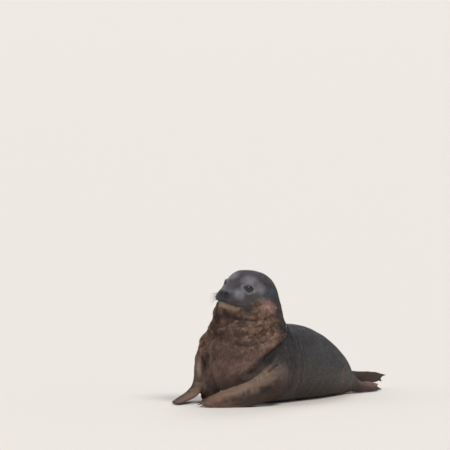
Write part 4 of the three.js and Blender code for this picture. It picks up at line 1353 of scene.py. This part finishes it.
# Whiskers
# Five rows of stiff, horny whiskers on each whisker pad and a few over each eye, each rooted in
# the skin and bending down and back.
WHISKER_ROWS, WHISKER_COLUMNS, BROW_WHISKERS = 5, 6, 4
WHISKER_THICK, BROW_THICK, WHISKER_SINK, WHISKER_DROOP, WHISKER_TAPER = 0.36, 0.32, 1.5, 0.28, 0.88
PAD_CENTRE_U, BROW_CENTRE = 96, (60, 0, 0)
skin_tree = BVHTree.FromObject(skin, bpy.context.evaluated_depsgraph_get())


def skin_point(start, direction):
    """Where a ray leaves the skin for good, in the pup's frame. Its start and direction are given in
    the head's."""
    origin = Vector(from_head(np.asarray(start, float)) * MM)
    heading = Vector(head_axes @ np.asarray(direction, float)).normalized()
    hit = None
    while True:
        place, _, _, _ = skin_tree.ray_cast(origin, heading)
        if place is None:
            return hit
        hit = np.array(place) / MM
        origin = place + heading * 1e-4


def whisker(root, direction, length, thick):
    """A tapering bent hair: on along its direction, with a droop that grows by the square."""
    t, angle = round_grid(np.linspace(0, 1, 9), 5)
    direction = unit(direction)
    sideways = unit(np.cross(direction, (0, 0, 1)))
    upright = np.cross(sideways, direction)
    radius = thick * (1 - WHISKER_TAPER * t)
    return tube(
        root - WHISKER_SINK * direction + (length * t)[..., None] * direction
        - (WHISKER_DROOP * length * t**2)[..., None] * np.array([0, 0, 1.0])
        + (radius * np.cos(angle))[..., None] * sideways + (radius * np.sin(angle))[..., None] * upright
    )


whiskers = []
for side in (1, -1):
    for row in range(WHISKER_ROWS):
        for column in range(WHISKER_COLUMNS):
            bearing = math.radians(22 + 9.5 * column + dice.uniform(-2, 2))
            height = -17 - 5.0 * row + dice.uniform(-0.8, 0.8)
            root = skin_point((PAD_CENTRE_U, 0, height), (math.cos(bearing), side * math.sin(bearing), 0))
            out = head_axes @ np.array([0.55 - 0.11 * column, side * 0.85, -0.12 - 0.14 * row])
            long = 16 + 6.0 * column + dice.uniform(-3, 3)
            whiskers.append(whisker(root, out, long, WHISKER_THICK))
    for number in range(BROW_WHISKERS):
        root = skin_point(BROW_CENTRE, (0.1 + 0.12 * number, side * 0.62, 0.78))
        out = head_axes @ np.array([-0.1 + 0.1 * number, side * 0.6, 0.75])
        whiskers.append(whisker(root, out, 20 + 3 * number, BROW_THICK))
points, quads, ends = joined(whiskers)
bristles = new_piece("whiskers", points * MM, quads, ends)
face_outward(bristles)
smooth(bristles)
whisker_horn = horn_material("whisker_horn", srgb(96, 78, 66), 0.4, 90, srgb(36, 29, 27), srgb(112, 90, 78))
bristles.data.materials.append(whisker_horn)
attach(bristles, "root")
